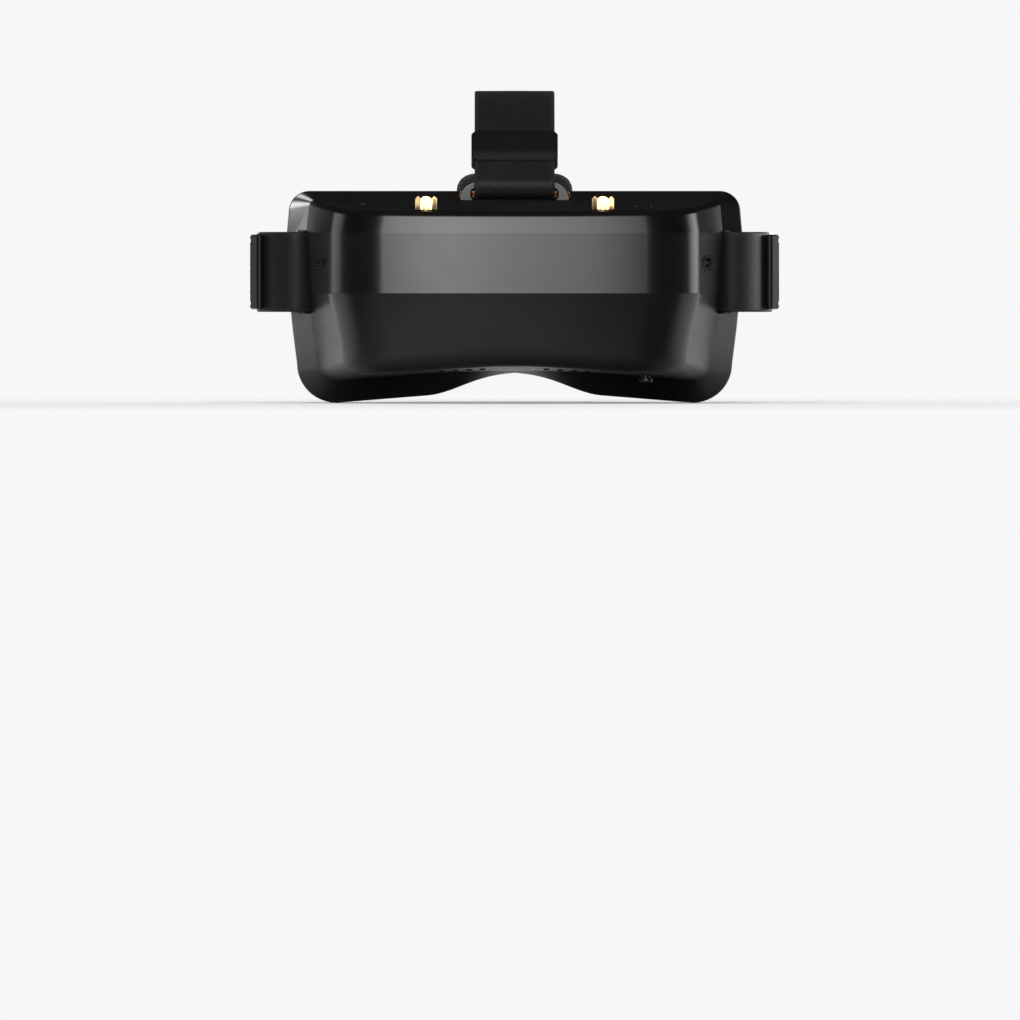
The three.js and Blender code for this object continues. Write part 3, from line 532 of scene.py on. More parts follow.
def leather(name, colour, roughness, pore=1450):
    """Synthetic leather: fine pebbles over slow unevenness."""
    s = Surface(name, Sheen_Weight=0.08, Sheen_Roughness=0.5, Specular_IOR_Level=0.3, IOR=1.45)
    where = s.place()
    pebble = s.node("TexVoronoi", {"Vector": where, "Scale": pore}, feature="SMOOTH_F1")
    pebbles = pebble.outputs["Distance"]
    slow = s.noise(where, 150, 3)
    tone = s.shaded(pebbles, colour, -0.25, 0.12, 0.75)
    worn = s.mix(s.mapped(slow, 0.42, 0.75, 0.0, 0.4), tone, tuple(c * 1.7 for c in colour))
    gloss = s.mapped(slow, 0.3, 0.7, roughness - 0.08, roughness + 0.08)
    grain = s.relief(s.math("SUBTRACT", 1.0, pebbles), 0.12, 0.6)
    return s.use(Base_Color=worn, Roughness=gloss, Normal=s.relief(slow, 0.5, 0.3, grain))


def rubbery(name, colour, roughness, shine=0.5):
    s = Surface(name, Specular_IOR_Level=shine, IOR=1.5)
    where = s.place()
    fine = s.noise(where, 1700, 3, 0.7)
    dust = s.noise(where, 90, 5, 0.7)
    tone = s.shaded(dust, colour, 0.3, 0.35, 0.75)
    gloss = s.mapped(dust, 0.3, 0.75, roughness - 0.05, roughness + 0.1)
    return s.use(Base_Color=tone, Roughness=gloss, Normal=s.relief(fine, 0.03, 0.5))


def thread():
    s = Surface("thread", Roughness=0.6, Sheen_Weight=0.3)
    twist = s.node(
        "TexWave",
        {"Vector": s.place(), "Scale": 900.0, "Distortion": 1.0},
        bands_direction="DIAGONAL",
    ).outputs["Fac"]
    tone = s.colours(twist, (0.1, (0.1, 0.1, 0.102)), (0.9, (0.24, 0.24, 0.245)))
    return s.use(Base_Color=tone, Normal=s.relief(twist, 0.08, 0.7))


def hook_tape():
    s = Surface("hook_tape", Roughness=0.95)
    bristle = s.node("TexVoronoi", {"Vector": s.place(), "Scale": 1100.0}).outputs["Distance"]
    tone = s.colours(bristle, (0.1, (0.03, 0.03, 0.031)), (0.7, (0.004, 0.004, 0.004)))
    return s.use(Base_Color=tone, Normal=s.relief(bristle, 0.5, 1.0))


def circuit_board():
    s = Surface("circuit_board", Roughness=0.38)
    where = s.place()
    greens = ((0.004, 0.03, 0.012), (0.006, 0.045, 0.018), (0.02, 0.11, 0.045))
    tracks = s.bricks(where, 0.0047, 0.0011, 0.00016, greens, offset=0.37)
    pads = s.node("TexVoronoi", {"Vector": where, "Scale": 310.0}).outputs["Distance"]
    tone = s.mix(s.mapped(pads, 0.1, 0.14, 1.0, 0.0), tracks, (0.55, 0.5, 0.38))
    return s.use(Base_Color=tone, Normal=s.relief(pads, 0.05, 0.4))


def display():
    """A dark panel: its sub-pixel rows show only close up."""
    s = Surface("display", Roughness=0.16, Coat_Weight=0.4, Coat_Roughness=0.05, IOR=1.52)
    rows = s.node("TexWave", {"Vector": s.place(), "Scale": 1500.0}, bands_direction="Z").outputs["Fac"]
    tone = s.colours(rows, (0.2, (0.004, 0.005, 0.008)), (0.8, (0.011, 0.013, 0.019)))
    return s.use(Base_Color=tone)


def optical():
    """Clear lens plastic, ringed with shallow Fresnel grooves."""
    s = Surface("optical", (0.96, 0.97, 0.97), Transmission_Weight=1.0, Roughness=0.02, IOR=1.49)
    across = s.node("Mapping", {"Vector": s.place(), "Location": (0, 0, -0.05), "Scale": (1, 0, 1)})
    rings = s.node(
        "TexWave",
        {"Vector": across.outputs[0], "Scale": 620.0},
        wave_type="RINGS",
        rings_direction="SPHERICAL",
        wave_profile="SAW",
    ).outputs["Fac"]
    return s.use(Normal=s.relief(rings, 0.01, 0.12))


def light_pipe():
    s = Surface("light_pipe", Roughness=0.18, Transmission_Weight=0.55, IOR=1.49)
    milk = s.noise(s.place(), 900, 3)
    return s.use(Base_Color=s.colours(milk, (0.3, (0.55, 0.62, 0.68)), (0.7, (0.82, 0.86, 0.9))))


FINISH = {
    "shell": moulded("shell", (0.004, 0.004, 0.0042), 0.25, 0.008, 3600, 0.02, bite=0.2),
    "shell_top": moulded("shell_top", (0.0055, 0.0055, 0.0057), 0.58, 0.03, 2600, 0.05, 0.05, 0.5),
    "rim": moulded("rim", (0.0045, 0.0045, 0.0047), 0.28, 0.01, 3200, 0.02, bite=0.3),
    "inner_plastic": moulded("inner_plastic", (0.02, 0.02, 0.0205), 0.45, 0.02, 3000, bite=0.3),
    "clip_plastic": moulded("clip_plastic", (0.0045, 0.0045, 0.0047), 0.34, 0.02, 2000, 0.03, 0.2),
    "button": moulded("button", (0.0055, 0.0055, 0.0058), 0.36, 0.03, 1900, 0.05, 0.35),
    "foam": perforated(),
    "hook_tape": hook_tape(),
    "rubber": rubbery("rubber", (0.0045, 0.0045, 0.0048), 0.38, 0.28),
    "webbing": webbing(),
    "leather": leather("leather", (0.021, 0.021, 0.0215), 0.56),
    "lining": leather("lining", (0.017, 0.017, 0.0175), 0.66, 1900),
    "gold": metal("gold", (0.84, 0.6, 0.27), 0.16, (25, 25, 1600), 0.1),
    "steel": metal("steel", (0.56, 0.57, 0.58), 0.26),
    "black_nickel": metal("black_nickel", (0.03, 0.03, 0.032), 0.35),
    "aluminium": metal("aluminium", (0.48, 0.49, 0.5), 0.34),
    "insulator": rubbery("insulator", (0.78, 0.76, 0.7), 0.4),
    "cable": rubbery("cable", (0.016, 0.016, 0.017), 0.45),
    "screen": display(),
    "lens": optical(),
    "circuit_board": circuit_board(),
    "light_pipe": light_pipe(),
    "thread": thread(),
}


def finished(obj, slot, body=None, replaces=(), material=None):
    """Gives a piece its material, picked by its slot, and lets it ride on its body in place of its CAD nodes.
    """
    obj.data.materials.clear()
    obj.data.materials.append(FINISH[material or slot])
    if replaces:
        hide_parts(*replaces)
    if body:
        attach(obj, body)
    return obj


# ------------------------------------------------------------------ the housing's surfaces
def top_z(y):
    return JOINT_TOP_Z + (y - JOINT_Y) * TOP_SLOPE


def bottom_z(x, y):
    joint = 13.8 - 0.00086 * x * x
    front = 13.3 + 1.65 * (1 + np.cos(np.pi * np.minimum(1, np.abs(x) / 60)))
    return joint + (front - joint) * (JOINT_Y - y) / (JOINT_Y - FRONT_Y)


def rim_bottom_z(x):
    base = np.maximum(0, (RIM_BASE_X - np.abs(x)) * RIM_BASE_RISE)
    share = np.minimum(1, np.abs(x) / NOSE_REACH) ** NOSE_POWER
    lift = NOSE_CROWN - RIM_BASE_X * RIM_BASE_RISE
    return base + lift * (1 + np.cos(np.pi * share)) / 2


def plan_half(z, inset, rear_y, arc_steps=26, front_steps=16):
    """The housing's half plan at a height: the rear half width, and the outline from there."""
    side = read(FLARE, z) - inset
    joint = read(JOINT, z) - inset
    front = read(VISOR, z) + inset
    radius = CORNER_R - inset
    start = math.atan2(joint - side, SIDE_RUN)
    centre_x = side - radius * math.cos(start)
    end = math.pi / 2 - math.asin(centre_x / (VISOR_R - radius))
    end_x = centre_x + radius * math.cos(end)
    centre_y = front + end_x**2 / (2 * VISOR_R) + radius * math.sin(end)
    corner_y = centre_y - radius * math.sin(start)
    rear = joint + (joint - side) * (rear_y - JOINT_Y) / (JOINT_Y - corner_y)
    turn = np.linspace(start, end, arc_steps + 1)
    bend = np.column_stack([centre_x + radius * np.cos(turn), centre_y - radius * np.sin(turn)])
    x = end_x * np.linspace(1, 0, front_steps + 1)[1:]
    return rear, np.vstack([bend, np.column_stack([x, front + x**2 / (2 * VISOR_R)])])


def housing(name, wall, rear_y, fillet_steps):
    """The housing as a closed solid, drawn inwards by a wall thickness."""
    quarter = np.linspace(0, math.pi / 2, fillet_steps + 1)
    rings = []

    def ring(nominal_z, inset, height):
        rear, half = plan_half(nominal_z, inset, rear_y)
        visor = np.vstack([half, (half * (-1, 1))[-2::-1]])
        back = np.column_stack([visor[::-1, 0] * rear / half[0, 0], np.full(len(visor), rear_y)])
        outline = np.vstack([visor, back])
        rings.append([(x, y, height(x, y)) for x, y in outline])

    low_r = BOTTOM_FILLET - wall
    high_r = max(0.4, TOP_FILLET - wall)
    for turn in quarter:
        rise = wall + low_r * (1 - math.cos(turn))
        ring(LOW_Z + rise, wall + low_r * (1 - math.sin(turn)), lambda x, y: bottom_z(x, y) + rise)
    for z in (28, 36, LOW_CREASE_Z - CREASE_HALF, LOW_CREASE_Z + CREASE_HALF,
              HIGH_CREASE_Z - CREASE_HALF, HIGH_CREASE_Z + CREASE_HALF):
        ring(z, wall, lambda x, y: z)
    for turn in quarter:
        drop = wall + high_r * (1 - math.sin(turn))
        ring(HIGH_Z - drop, wall + high_r * (1 - math.cos(turn)), lambda x, y: top_z(y) - drop)
    rings = np.array(rings)
    rows, columns = rings.shape[:2]
    faces = ring_faces(rows, columns, caps=False)
    half = columns // 2
    for start in (0, (rows - 1) * columns):
        for i in range(half - 1):
            j = columns - 1 - i
            faces.append((start + i, start + i + 1, start + j - 1, start + j))
    return new_object(name, rings.reshape(-1, 3), faces)


def face_outline(top, width, top_r, bottom_r, bottom):
    """A closed outline in x and z with rounded corners and a shaped lower edge."""
    steps = 12
    half = []
    top_x = read(width, top - top_r) - top_r
    half += arc(top_x, top - top_r, top_r, math.pi / 2, 0, steps)
    for z in (HIGH_CREASE_Z - 3, LOW_CREASE_Z, 32):
        half.append((read(width, z), z))
    low_z = bottom(read(width, 20) - bottom_r) + bottom_r
    low_x = read(width, low_z) - bottom_r
    half += arc(low_x, low_z, bottom_r, 0, -math.pi / 2, steps)
    for share in np.linspace(0.96, 0.04, 30):
        half.append((low_x * share, bottom(low_x * share)))
    return np.array([*half, (0, bottom(0)), *[(-x, z) for x, z in reversed(half)]])


JOINT_OUTLINE = face_outline(
    JOINT_TOP_Z, JOINT, TOP_FILLET, BOTTOM_FILLET, lambda x: bottom_z(x, JOINT_Y)
)
RIM_OUTLINE = face_outline(RIM_TOP_Z, RIM, 9, 17, rim_bottom_z)


def eye_outline(grow):
    return rounded(
        mirrored([
            (EYE_HALF + grow, EYE_HIGH + grow, EYE_HIGH_R + grow),
            (EYE_HALF + grow, EYE_LOW - grow, EYE_LOW_R + grow),
        ]),
        12,
    )


# ------------------------------------------------------------------ front shell
def hole(radius, place, chamfer=0.3, depth=7, upside_down=False):
    """A round cutter with a lead-in chamfer at the surface."""
    levels = [(-depth, 0), (-chamfer, 0), (0, chamfer), (3, chamfer)]
    if upside_down:
        levels = [(-w, g) for w, g in levels]
    return solid("cutter", circle(radius), levels, place)


def front_shell():
    cutters = []
    for side in (-1, 1):
        place = on_top(side * ANTENNA_X, ANTENNA_Y)
        levels = [(-8, -1.7), (-0.6, -1.7), (-0.6, 0), (-0.25, 0), (0.1, 0.35), (3, 0.35)]
        cutters.append(solid("cutter", circle(5.2, 40), levels, place))
        for x in VENT_X:
            outline = box_outline(VENT_WIDTH / 2, (VENT_Y[1] - VENT_Y[0]) / 2, 1.15)
            place = on_bottom(side * x, sum(VENT_Y) / 2)
            cutters.append(solid("cutter", outline, [(6, 0), (0.3, 0), (0, 0.3), (-3, 0.3)], place))
    for x, y, radius in (POWER, *KEYS.values()):
        cutters.append(hole(radius + GAP, on_top(x, y)))
    cutters.append(hole(LAMP[2] + GAP, on_top(*LAMP[:2]), 0.2))
    cutters.append(hole(NAV_HOLE, on_bottom(*NAV), 0.5, upside_down=True))
    for outline, side, y in (  # DC jack, AV jack and HDMI, then USB and the card slot
        (circle(4.4), 1, -55), (circle(3.2), 1, -29), (box_outline(7.8, 3, 0.9), 1, -42),
        (box_outline(4.9, 2, 0.9), -1, -52), (box_outline(6.5, 1.3, 0.5), -1, -37),
    ):
        levels = [(-5, 0), (-0.15, 0), (0, 0.15), (2, 0.15)]
        cutters.append(solid("cutter", outline, levels, on_side(side, y, PORT_Z)))
    turn = np.array(((math.cos(SPEAKER_TURN), -math.sin(SPEAKER_TURN)),
                     (math.sin(SPEAKER_TURN), math.cos(SPEAKER_TURN))))
    for i in range(-2, 3):
        along = i * SPEAKER_PITCH
        slit = box_outline(0.5, (9 - abs(along)) / 2, 0.48) @ turn.T
        place = on_top(SPEAKER_X + along * 0.6, SPEAKER_Y - along)
        cutters.append(solid("cutter", slit, [(-6, 0), (-0.25, 0), (0, 0.22), (3, 0.22)], place))
    shell = housing("front_shell_skin", 0, JOINT_Y, 9)
    boolean(shell, "DIFFERENCE", housing("inside", WALL, JOINT_Y + 1, 3), joined("cutters", cutters))
    return smooth(shell, 35)


shell = finished(front_shell(), "shell", "housing", ["front_shell"])
shell.data.materials.append(FINISH["shell_top"])
for face in shell.data.polygons:  # the top plate is matt and the visor is glossy
    if face.normal.z > TOP_PLATE_FLATNESS and face.center.z > TOP_PLATE_FROM:
        face.material_index = 1


# ------------------------------------------------------------------ rear frame
def bracket_arch():
    return rounded(mirrored([(BRACKET_HALF, BRACKET_TOP, 8), (BRACKET_HALF, NOTCH_FLOOR + GAP, 0.4)]), 14)


def rear_frame():
    front = JOINT_Y + GAP
    sloped = lambda share: JOINT_OUTLINE + (RIM_OUTLINE - JOINT_OUTLINE) * share
    run = RIM_Y - front
    sections = [
        (grown(JOINT_OUTLINE, -0.45), front), (grown(JOINT_OUTLINE, -0.12), front + 0.12),
        (sloped(0.05), front + 0.05 * run), (sloped(0.94), front + 0.94 * run),
        (grown(RIM_OUTLINE, -0.12), RIM_Y + 0.05), (RIM_OUTLINE, RIM_Y + 0.6),
        (RIM_OUTLINE, -1.0), (grown(RIM_OUTLINE, -0.3), -0.3), (grown(RIM_OUTLINE, -1.0), 0),
    ]
    body = loft("rear_frame_skin", [[(x, y, z) for x, z in shape] for shape, y in sections])
    window = eye_outline(1.8)
    levels = [(-20, 0.4), (front + 0.4, 0.0), (-0.6, 0.0), (0.1, 0.7), (5, 0.7)]
    tools = [solid("cutter", window, levels, facing_back)]
    tools.append(solid("cutter", bracket_arch(), [(-20, GAP), (5, GAP)], facing_back))
    low, high = STRAP_MID_Z - PIN_POCKET_HALF, STRAP_MID_Z + PIN_POCKET_HALF
    near, far = PIN_POCKET_X
    for side in (-1, 1):
        pocket = np.array([(near, low), (far, low), (far, high), (near, high)]) * (side, 1)
        tools.append(solid("cutter", pocket, [(-16.5, 0), (-3.4, 0)], facing_back))
        x0, y0 = side * PIN_X, PIN_Y
        pin_hole = lambda u, v, w, x0=x0, y0=y0: (x0 + u, y0 + v, w)
        levels = [(STRAP_MID_Z - 20.1, 0), (STRAP_MID_Z + 20.1, 0)]
        tools.append(solid("cutter", circle(PIN_R + GAP, 16), levels, pin_hole))
    for tool in tools:
        boolean(body, "DIFFERENCE", tool)
    return smooth(body, 35)


finished(rear_frame(), "rim", "housing", ["rear_frame"])


# ------------------------------------------------------------------ soft pieces
def swell(obj, held, pressure, cap, frames=20, mass=0.12, stiffness=18):
    """Lets trapped air swell a closed mesh; no point ends further than `cap` mm from its start.
"""
    rest = points_of(obj)
    group = obj.vertex_groups.new(name="held")
    group.add([int(i) for i in np.flatnonzero(held)], 1.0, "REPLACE")
    cloth = obj.modifiers.new("Cloth", "CLOTH")
    settings = cloth.settings
    settings.vertex_group_mass = "held"
    settings.quality = 5
    settings.mass = mass
    settings.tension_stiffness = settings.compression_stiffness = stiffness
    settings.shear_stiffness = stiffness * 0.5
    settings.bending_stiffness = 0.6
    settings.use_pressure = True
    settings.uniform_pressure_force = pressure
    settings.effector_weights.gravity = 0
    cloth.collision_settings.use_collision = False
    cloth.point_cache.frame_start, cloth.point_cache.frame_end = 1, frames
    scene = bpy.context.scene
    for step in range(1, frames + 1):
        scene.frame_set(step)
    graph = bpy.context.evaluated_depsgraph_get()
    moved = points_of(obj.evaluated_get(graph))
    scene.frame_set(1)
    obj.modifiers.remove(cloth)
    change = moved - rest
    length = np.linalg.norm(change, axis=1, keepdims=True)
    change *= np.minimum(1, cap * MM / np.maximum(length, 1e-9))
    put_points(obj, rest + change)
    return obj


def ray_hit(start, direction, outline):
    """Distance from a point to an outline along a direction."""
    a, b = outline, np.roll(outline, -1, 0)
    e = b - a
    cross = direction[0] * e[:, 1] - direction[1] * e[:, 0]
    safe = np.where(np.abs(cross) < 1e-9, 1e-9, cross)
    d = a - start
    along = (d[:, 0] * e[:, 1] - d[:, 1] * e[:, 0]) / safe
    share = (d[:, 0] * direction[1] - d[:, 1] * direction[0]) / safe
    good = (share >= -1e-6) & (share <= 1 + 1e-6) & (along > 0) & (np.abs(cross) > 1e-9)
    return along[good].min()


def face_line():
    """The seal's inner edge from the nose round the wearer's left eye to the brow: (x, z, nx, nz)."""
    def corner(radius, z, start, count):
        turn = [(math.cos(a), math.sin(a)) for a in np.linspace(start, start + math.pi / 2, count)[:-1]]
        return [(EYE_HALF - radius + radius * c, z + radius * s, c, s) for c, s in turn]

    line = [(x, EYE_LOW, 0, -1) for x in np.linspace(NOSE_HALF, EYE_HALF - EYE_LOW_R, 21)[:-1]]
    line += corner(EYE_LOW_R, EYE_LOW + EYE_LOW_R, -math.pi / 2, 15)
    line += [(EYE_HALF, z, 1, 0) for z in np.linspace(EYE_LOW + EYE_LOW_R, EYE_HIGH - EYE_HIGH_R, 19)[:-1]]
    line += corner(EYE_HIGH_R, EYE_HIGH - EYE_HIGH_R, 0, 13)
    line += [(x, EYE_HIGH, 0, 1) for x in np.linspace(EYE_HALF - EYE_HIGH_R, 0, 32)]
    return np.array(line)


def foam_outline():
    """The seal's outer edge: the rim, and a curve up to the nose at each end."""
    half = RIM_OUTLINE[RIM_OUTLINE[:, 0] > 33]
    nose = [(30.5, 4.7), (27.6, 5.9), (24.8, 7.7), (22.6, 9.6), (21, 11.4), (19.6, 13.4), (19, 30)]
    right = np.vstack([half, nose])
    return np.vstack([right, (right * (-1, 1))[::-1]])


def foam_height(x):
    return FOAM_MIDDLE + (FOAM_SIDES - FOAM_MIDDLE) * (x / FOAM_HALF) ** 2


def foam_section(width, rise):
    """(inward, drop from the top or height from the base) points round one section of the seal."""
    bevel = min(FOAM_BEVEL, 0.55 * width)
    inner = min(2.4, 0.25 * width)
    depth = min(6.5, 0.62 * rise)
    points = []
    for angle in np.linspace(0, math.pi / 2, 9):
        points.append((bevel * (1 - math.cos(angle) ** 1.35), depth * (1 - math.sin(angle) ** 1.35), 0))
    for share in np.linspace(0, 1, 7)[1:-1]:
        crown = -0.5 * math.sin(math.pi * share)
        points.append((bevel + (width - inner - bevel) * share, crown, 0))
    for angle in np.linspace(0, math.pi / 2, 5):
        points.append((width - inner + inner * math.sin(angle), inner * (1 - math.cos(angle)), 0))
    for share in (0.75, 0.5, 0.25, 0):
        points.append((width, share, 1))
    for share in (0.8, 0.6, 0.4, 0.2, 0):
        points.append((width * share, 0, 1))
    for share in (0.33, 0.66):
        points.append((0, share, 2))
    return points, depth, inner


def face_foam(shrink):
    line = face_line()
    line = np.vstack([line, (line * (-1, 1, -1, 1))[-2::-1]])
    outer = foam_outline()
    rings, cloth = [], []
    for x, z, nx, nz in line:
        width = ray_hit((x, z), (nx, nz), outer)
        start = np.array((x, z)) + np.array((nx, nz)) * (width - shrink)
        inward = -np.array((nx, nz), float)
        width -= 2 * shrink
        rise = foam_height(x + nx * width / 2) - FOAM_FROM - shrink
        points, depth, inner = foam_section(width, rise)
        ring = []
        for a, b, kind in points:
            px, pz = start + inward * a
            top = foam_height(px) - shrink
            wall_top = top - (inner if kind == 1 else depth)
            y = top - b if kind == 0 else FOAM_FROM + (wall_top - FOAM_FROM) * b
            ring.append((px, y, pz, a))
        ring = np.array(ring)
        middle = 11  # the section's point that the cloth is laid out from
        length = length_along(ring[:, :3])
        extra = np.abs(length - length[middle]) - np.abs(ring[:, 3] - ring[middle, 3])
        out = np.where(np.arange(len(ring)) < middle, 1.0, -1.0)
        total = length[-1] + np.linalg.norm(ring[0, :3] - ring[-1, :3])
        wrap = np.arange(len(ring)) > len(ring) - 3
        extra = np.where(wrap, total - length + length[middle] - (ring[middle, 3]), extra)
        out = np.where(wrap, 1.0, out)
        spot = ring[:, (0, 2)] - inward * (extra * out)[:, None]
        rings.append(ring[:, :3])
        cloth.append(np.column_stack([spot, np.zeros(len(ring))]))
    rings, cloth = np.array(rings), np.array(cloth)
    for end, sign in ((0, 1), (-1, -1)):  # round the two ends at the nose
        for k, (shift, scale) in enumerate(((0.0, 0.72), (0.45, 0.9), (1.6, 0.985))):
            i = k if end == 0 else -1 - k
            base = rings[end].copy() if k == 0 else rings[i]
            centre = base.mean(0)
            rings[i] = centre + (base - centre) * (1, scale, scale)
            rings[i][:, 0] = sign * (NOSE_HALF + shift)
    foam = loft("face_foam_pad", rings)
    lay(foam, cloth.reshape(-1, 3))
    base = points_of(foam)[:, 1] < BACK_Y + (FOAM_FROM + 1.2) * MM
    return foam, base


foam, foam_base = face_foam(0.5)
swell(foam, foam_base, pressure=5.0, cap=1.3)
subdivided(foam)
finished(foam, "foam", "housing", ["face_foam"])


def nose_guard():
    """A smooth saddle that closes the seal over the bridge of the nose."""
    rings = []
    reach = NOSE_HALF - 0.6
    lip = 1.1  # radius of the edge under the wearer's nose
    for x in np.linspace(-reach, reach, 41):
        share = abs(x) / reach
        back = 6.6 + 3.4 * share**2.2
        low = float(rim_bottom_z(x)) + 0.1
        round_off = 1.3 if share < 0.97 else 0.7
        profile = [(GAP, low + 0.4), (GAP + 0.5, low)]
        profile += arc(back - round_off, low + round_off, round_off, -math.pi / 2, 0, 6)
        middle = (low + EYE_LOW) / 2
        dish = 0.7 * (1 - share)
        profile += [(back - dish * 0.7, middle - 0.8), (back - dish, middle + 0.6)]
        profile += arc(back - lip, EYE_LOW - lip, lip, 0, math.pi / 2, 5)
        profile += [(GAP + 0.5, EYE_LOW), (GAP, EYE_LOW - 0.4)]
        rings.append([(x, y, z) for y, z in profile])
    return smooth(loft("nose_saddle", rings), 50)


finished(nose_guard(), "rubber", "housing", ["nose_guard"])


# ------------------------------------------------------------------ straps
def spline(points, per_point):
    """A uniform Catmull-Rom curve through 2-D points: places and unit tangents."""
    points = np.array(points, float)
    last = len(points) - 1
    places, tangents = [], []
    for step in range(last * per_point + 1):
        i = min(step // per_point, last - 1)
        t = step / per_point - i
        p0, p1, p2, p3 = (points[max(i - 1, 0)], points[i], points[i + 1], points[min(i + 2, last)])
        v0, v1 = (p2 - p0) / 2, (p3 - p1) / 2
        a, b = 2 * p1 - 2 * p2 + v0 + v1, -3 * p1 + 3 * p2 - 2 * v0 - v1
        places.append(((a * t + b) * t + v0) * t + p1)
        tangent = (3 * a * t + 2 * b) * t + v0
        tangents.append(tangent / np.linalg.norm(tangent))
    return np.array(places), np.array(tangents)


def even(points, spacing):
    """The same curve walked in even steps."""
    places, _ = spline(points, 16)
    length = length_along(places)
    walk = np.linspace(0, length[-1], int(length[-1] / spacing) + 1)
    walked = np.column_stack([np.interp(walk, length, places[:, k]) for k in range(2)])
    tangents = np.gradient(walked, axis=0)
    return walked, tangents / np.linalg.norm(tangents, axis=1, keepdims=True), walk


def ribbon(name, points, place, spacing=1.4, thick=STRAP_THICK, width=STRAP_WIDTH):
    """Webbing along a plane curve; `place` puts (u, v, across) in space."""
    places, tangents, walk = even(points, spacing)
    half, r = width / 2, thick / 2
    section = [(c, r) for c in np.linspace(-half + r, half - r, 15)]
    section += [(half - r + r * math.sin(a), r * math.cos(a)) for a in np.linspace(0, math.pi, 6)[1:-1]]
    section += [(c, -r) for c in np.linspace(half - r, -half + r, 15)]
    section += [(-half + r - r * math.sin(a), -r * math.cos(a)) for a in np.linspace(0, math.pi, 6)[1:-1]]
    rings, cloth = [], []
    for (u, v), (tu, tv), along in zip(places, tangents, walk):
        ripple = 0.1 * math.sin(along / 9.0) + 0.06 * math.sin(along / 3.7 + 1.0)
        ring = []
        for across, offset in section:
            curl = ripple * (across / half) ** 2
            n = offset + (curl if abs(along - walk[-1] / 2) < walk[-1] * 0.46 else 0)
            ring.append(place(u - tv * n, v + tu * n, across))
        rings.append(ring)
        cloth.append([(along, across, 0) for across, _ in section])
    strap = loft(name, rings)
    lay(strap, np.array(cloth).reshape(-1, 3))
    return smooth(strap, 60)


THREAD_R, THREAD_RISE, THREAD_SUNK = 0.24, 0.28, 0.1


def stitches(name, ends):
    """Short raised threads, each from one point to another, along a surface normal."""
    points, faces = [], []
    rows, sides = 7, 6
    for start, end, normal in ends:
        start, end, normal = (np.array(p, float) for p in (start, end, normal))
        along = end - start
        side = np.cross(along, normal)
        side /= np.linalg.norm(side)
        first = len(points)
        for k in range(rows):
            share = k / (rows - 1)
            bulge = math.sin(math.pi * share)
            radius = THREAD_R * math.sqrt(max(0.05, bulge))
            centre = start + along * share + normal * (THREAD_RISE * bulge - THREAD_SUNK)
            for a in np.linspace(0, 2 * math.pi, sides, endpoint=False):
                points.append(centre + side * radius * math.cos(a) + normal * radius * math.sin(a))
        faces += [tuple(first + i for i in face) for face in ring_faces(rows, sides)]
    return smooth(new_object(name, points, faces), 70)


def side_strap_points():
    r = PIN_R + GAP + STRAP_THICK / 2
    loop = [(PIN_X + r * math.cos(math.radians(a)), PIN_Y + r * math.sin(math.radians(a)))
            for a in (15, 60, 105, 150, 195, 240)]
    turn = [(94.5 + (STRAP_OUT_X - 94.5) * math.sin(math.radians(a)), 15 - 27.2 * math.cos(math.radians(a)))
            for a in (0, 22, 45, 67, 90)]
    back = [(111.5, 34), (111.3, 55), (109.6, 79), (105, 103), (97, 121.5), (86, 134.5), (72, 143.5),
            (58, 148.2), (45, PAD_STRAP_Y), (25, PAD_STRAP_Y), (4, PAD_STRAP_Y)]
    return [*loop, *turn, *back]


def crown_point(radius, degrees):
    angle = math.radians(degrees)
    return (CROWN_Y - radius * math.sin(angle), CROWN_Z + radius * math.cos(angle))


def top_strap_points():
    free_end = [crown_point(FREE_END_R, angle) for angle in (30, 35, 40, 45, 50)]
    clear = GAP + STRAP_THICK / 2
    behind, ahead, under = BRACKET_Y[1] + clear, BRACKET_Y[0] - clear, SLOT_HIGH - clear - LOOP_SAG
    loop = [(behind, 97.5), (behind, 93.6), (behind - 0.8, under + 0.3), (-7.8, under),
            (ahead + 0.8, under + 0.3), (ahead - 0.1, 93.6), (ahead - 0.1, 96)]
    rise = [crown_point(CROWN_R, angle) for angle in (54.5, 50, 44, 38, 32, 24, 16, 8, 0)]
    nape = [(95 + (PAD_STRAP_Y - 95) * math.sin(math.radians(a)),
             99 + (CROWN_Z + CROWN_R - 99) * math.cos(math.radians(a))) for a in (0, 22, 45, 67, 90)]
    return [*free_end, *loop, *rise, *nape, (PAD_STRAP_Y, 88), (PAD_STRAP_Y, 78)]


STRETCH_FROM, STRETCH_TO = 20.0, 118.0  # depths of a stretch of the harness; stretches() makes points of them and leaves them unused


def stretches(obj, start_y=STRETCH_FROM, end_y=STRETCH_TO):
    start, end = to_row((0, start_y, STRAP_MID_Z)), to_row((0, end_y, STRAP_MID_Z))
    tuple(start)
    tuple(end)
    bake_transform(obj)


for name, side in (("left", 1), ("right", -1)):
    strap = ribbon(
        f"side_strap_{name}_web", side_strap_points(),
        lambda u, v, across, side=side: (side * u, v, STRAP_MID_Z + across),
    )
    finished(strap, "webbing", None, [f"side_strap_{name}"])
    stretches(strap)

top_strap = ribbon("top_strap_web", top_strap_points(), lambda u, v, across: (across, u, v))
finished(top_strap, "webbing", None, ["top_strap"])
stretches(top_strap, 62.0, 125.0)


# ------------------------------------------------------------------ rear pad
def pad_outline(grow):
    return rounded(
        mirrored([
            (25.5 + grow, 100.1 + grow, 7.4), (25.5 + grow, 79.3 + grow, 6.6),
            (43.6 + grow, 79.3 + grow, 6), (43.6 + grow, 37.8 - grow, 1.8),
        ]),
        10,
    )


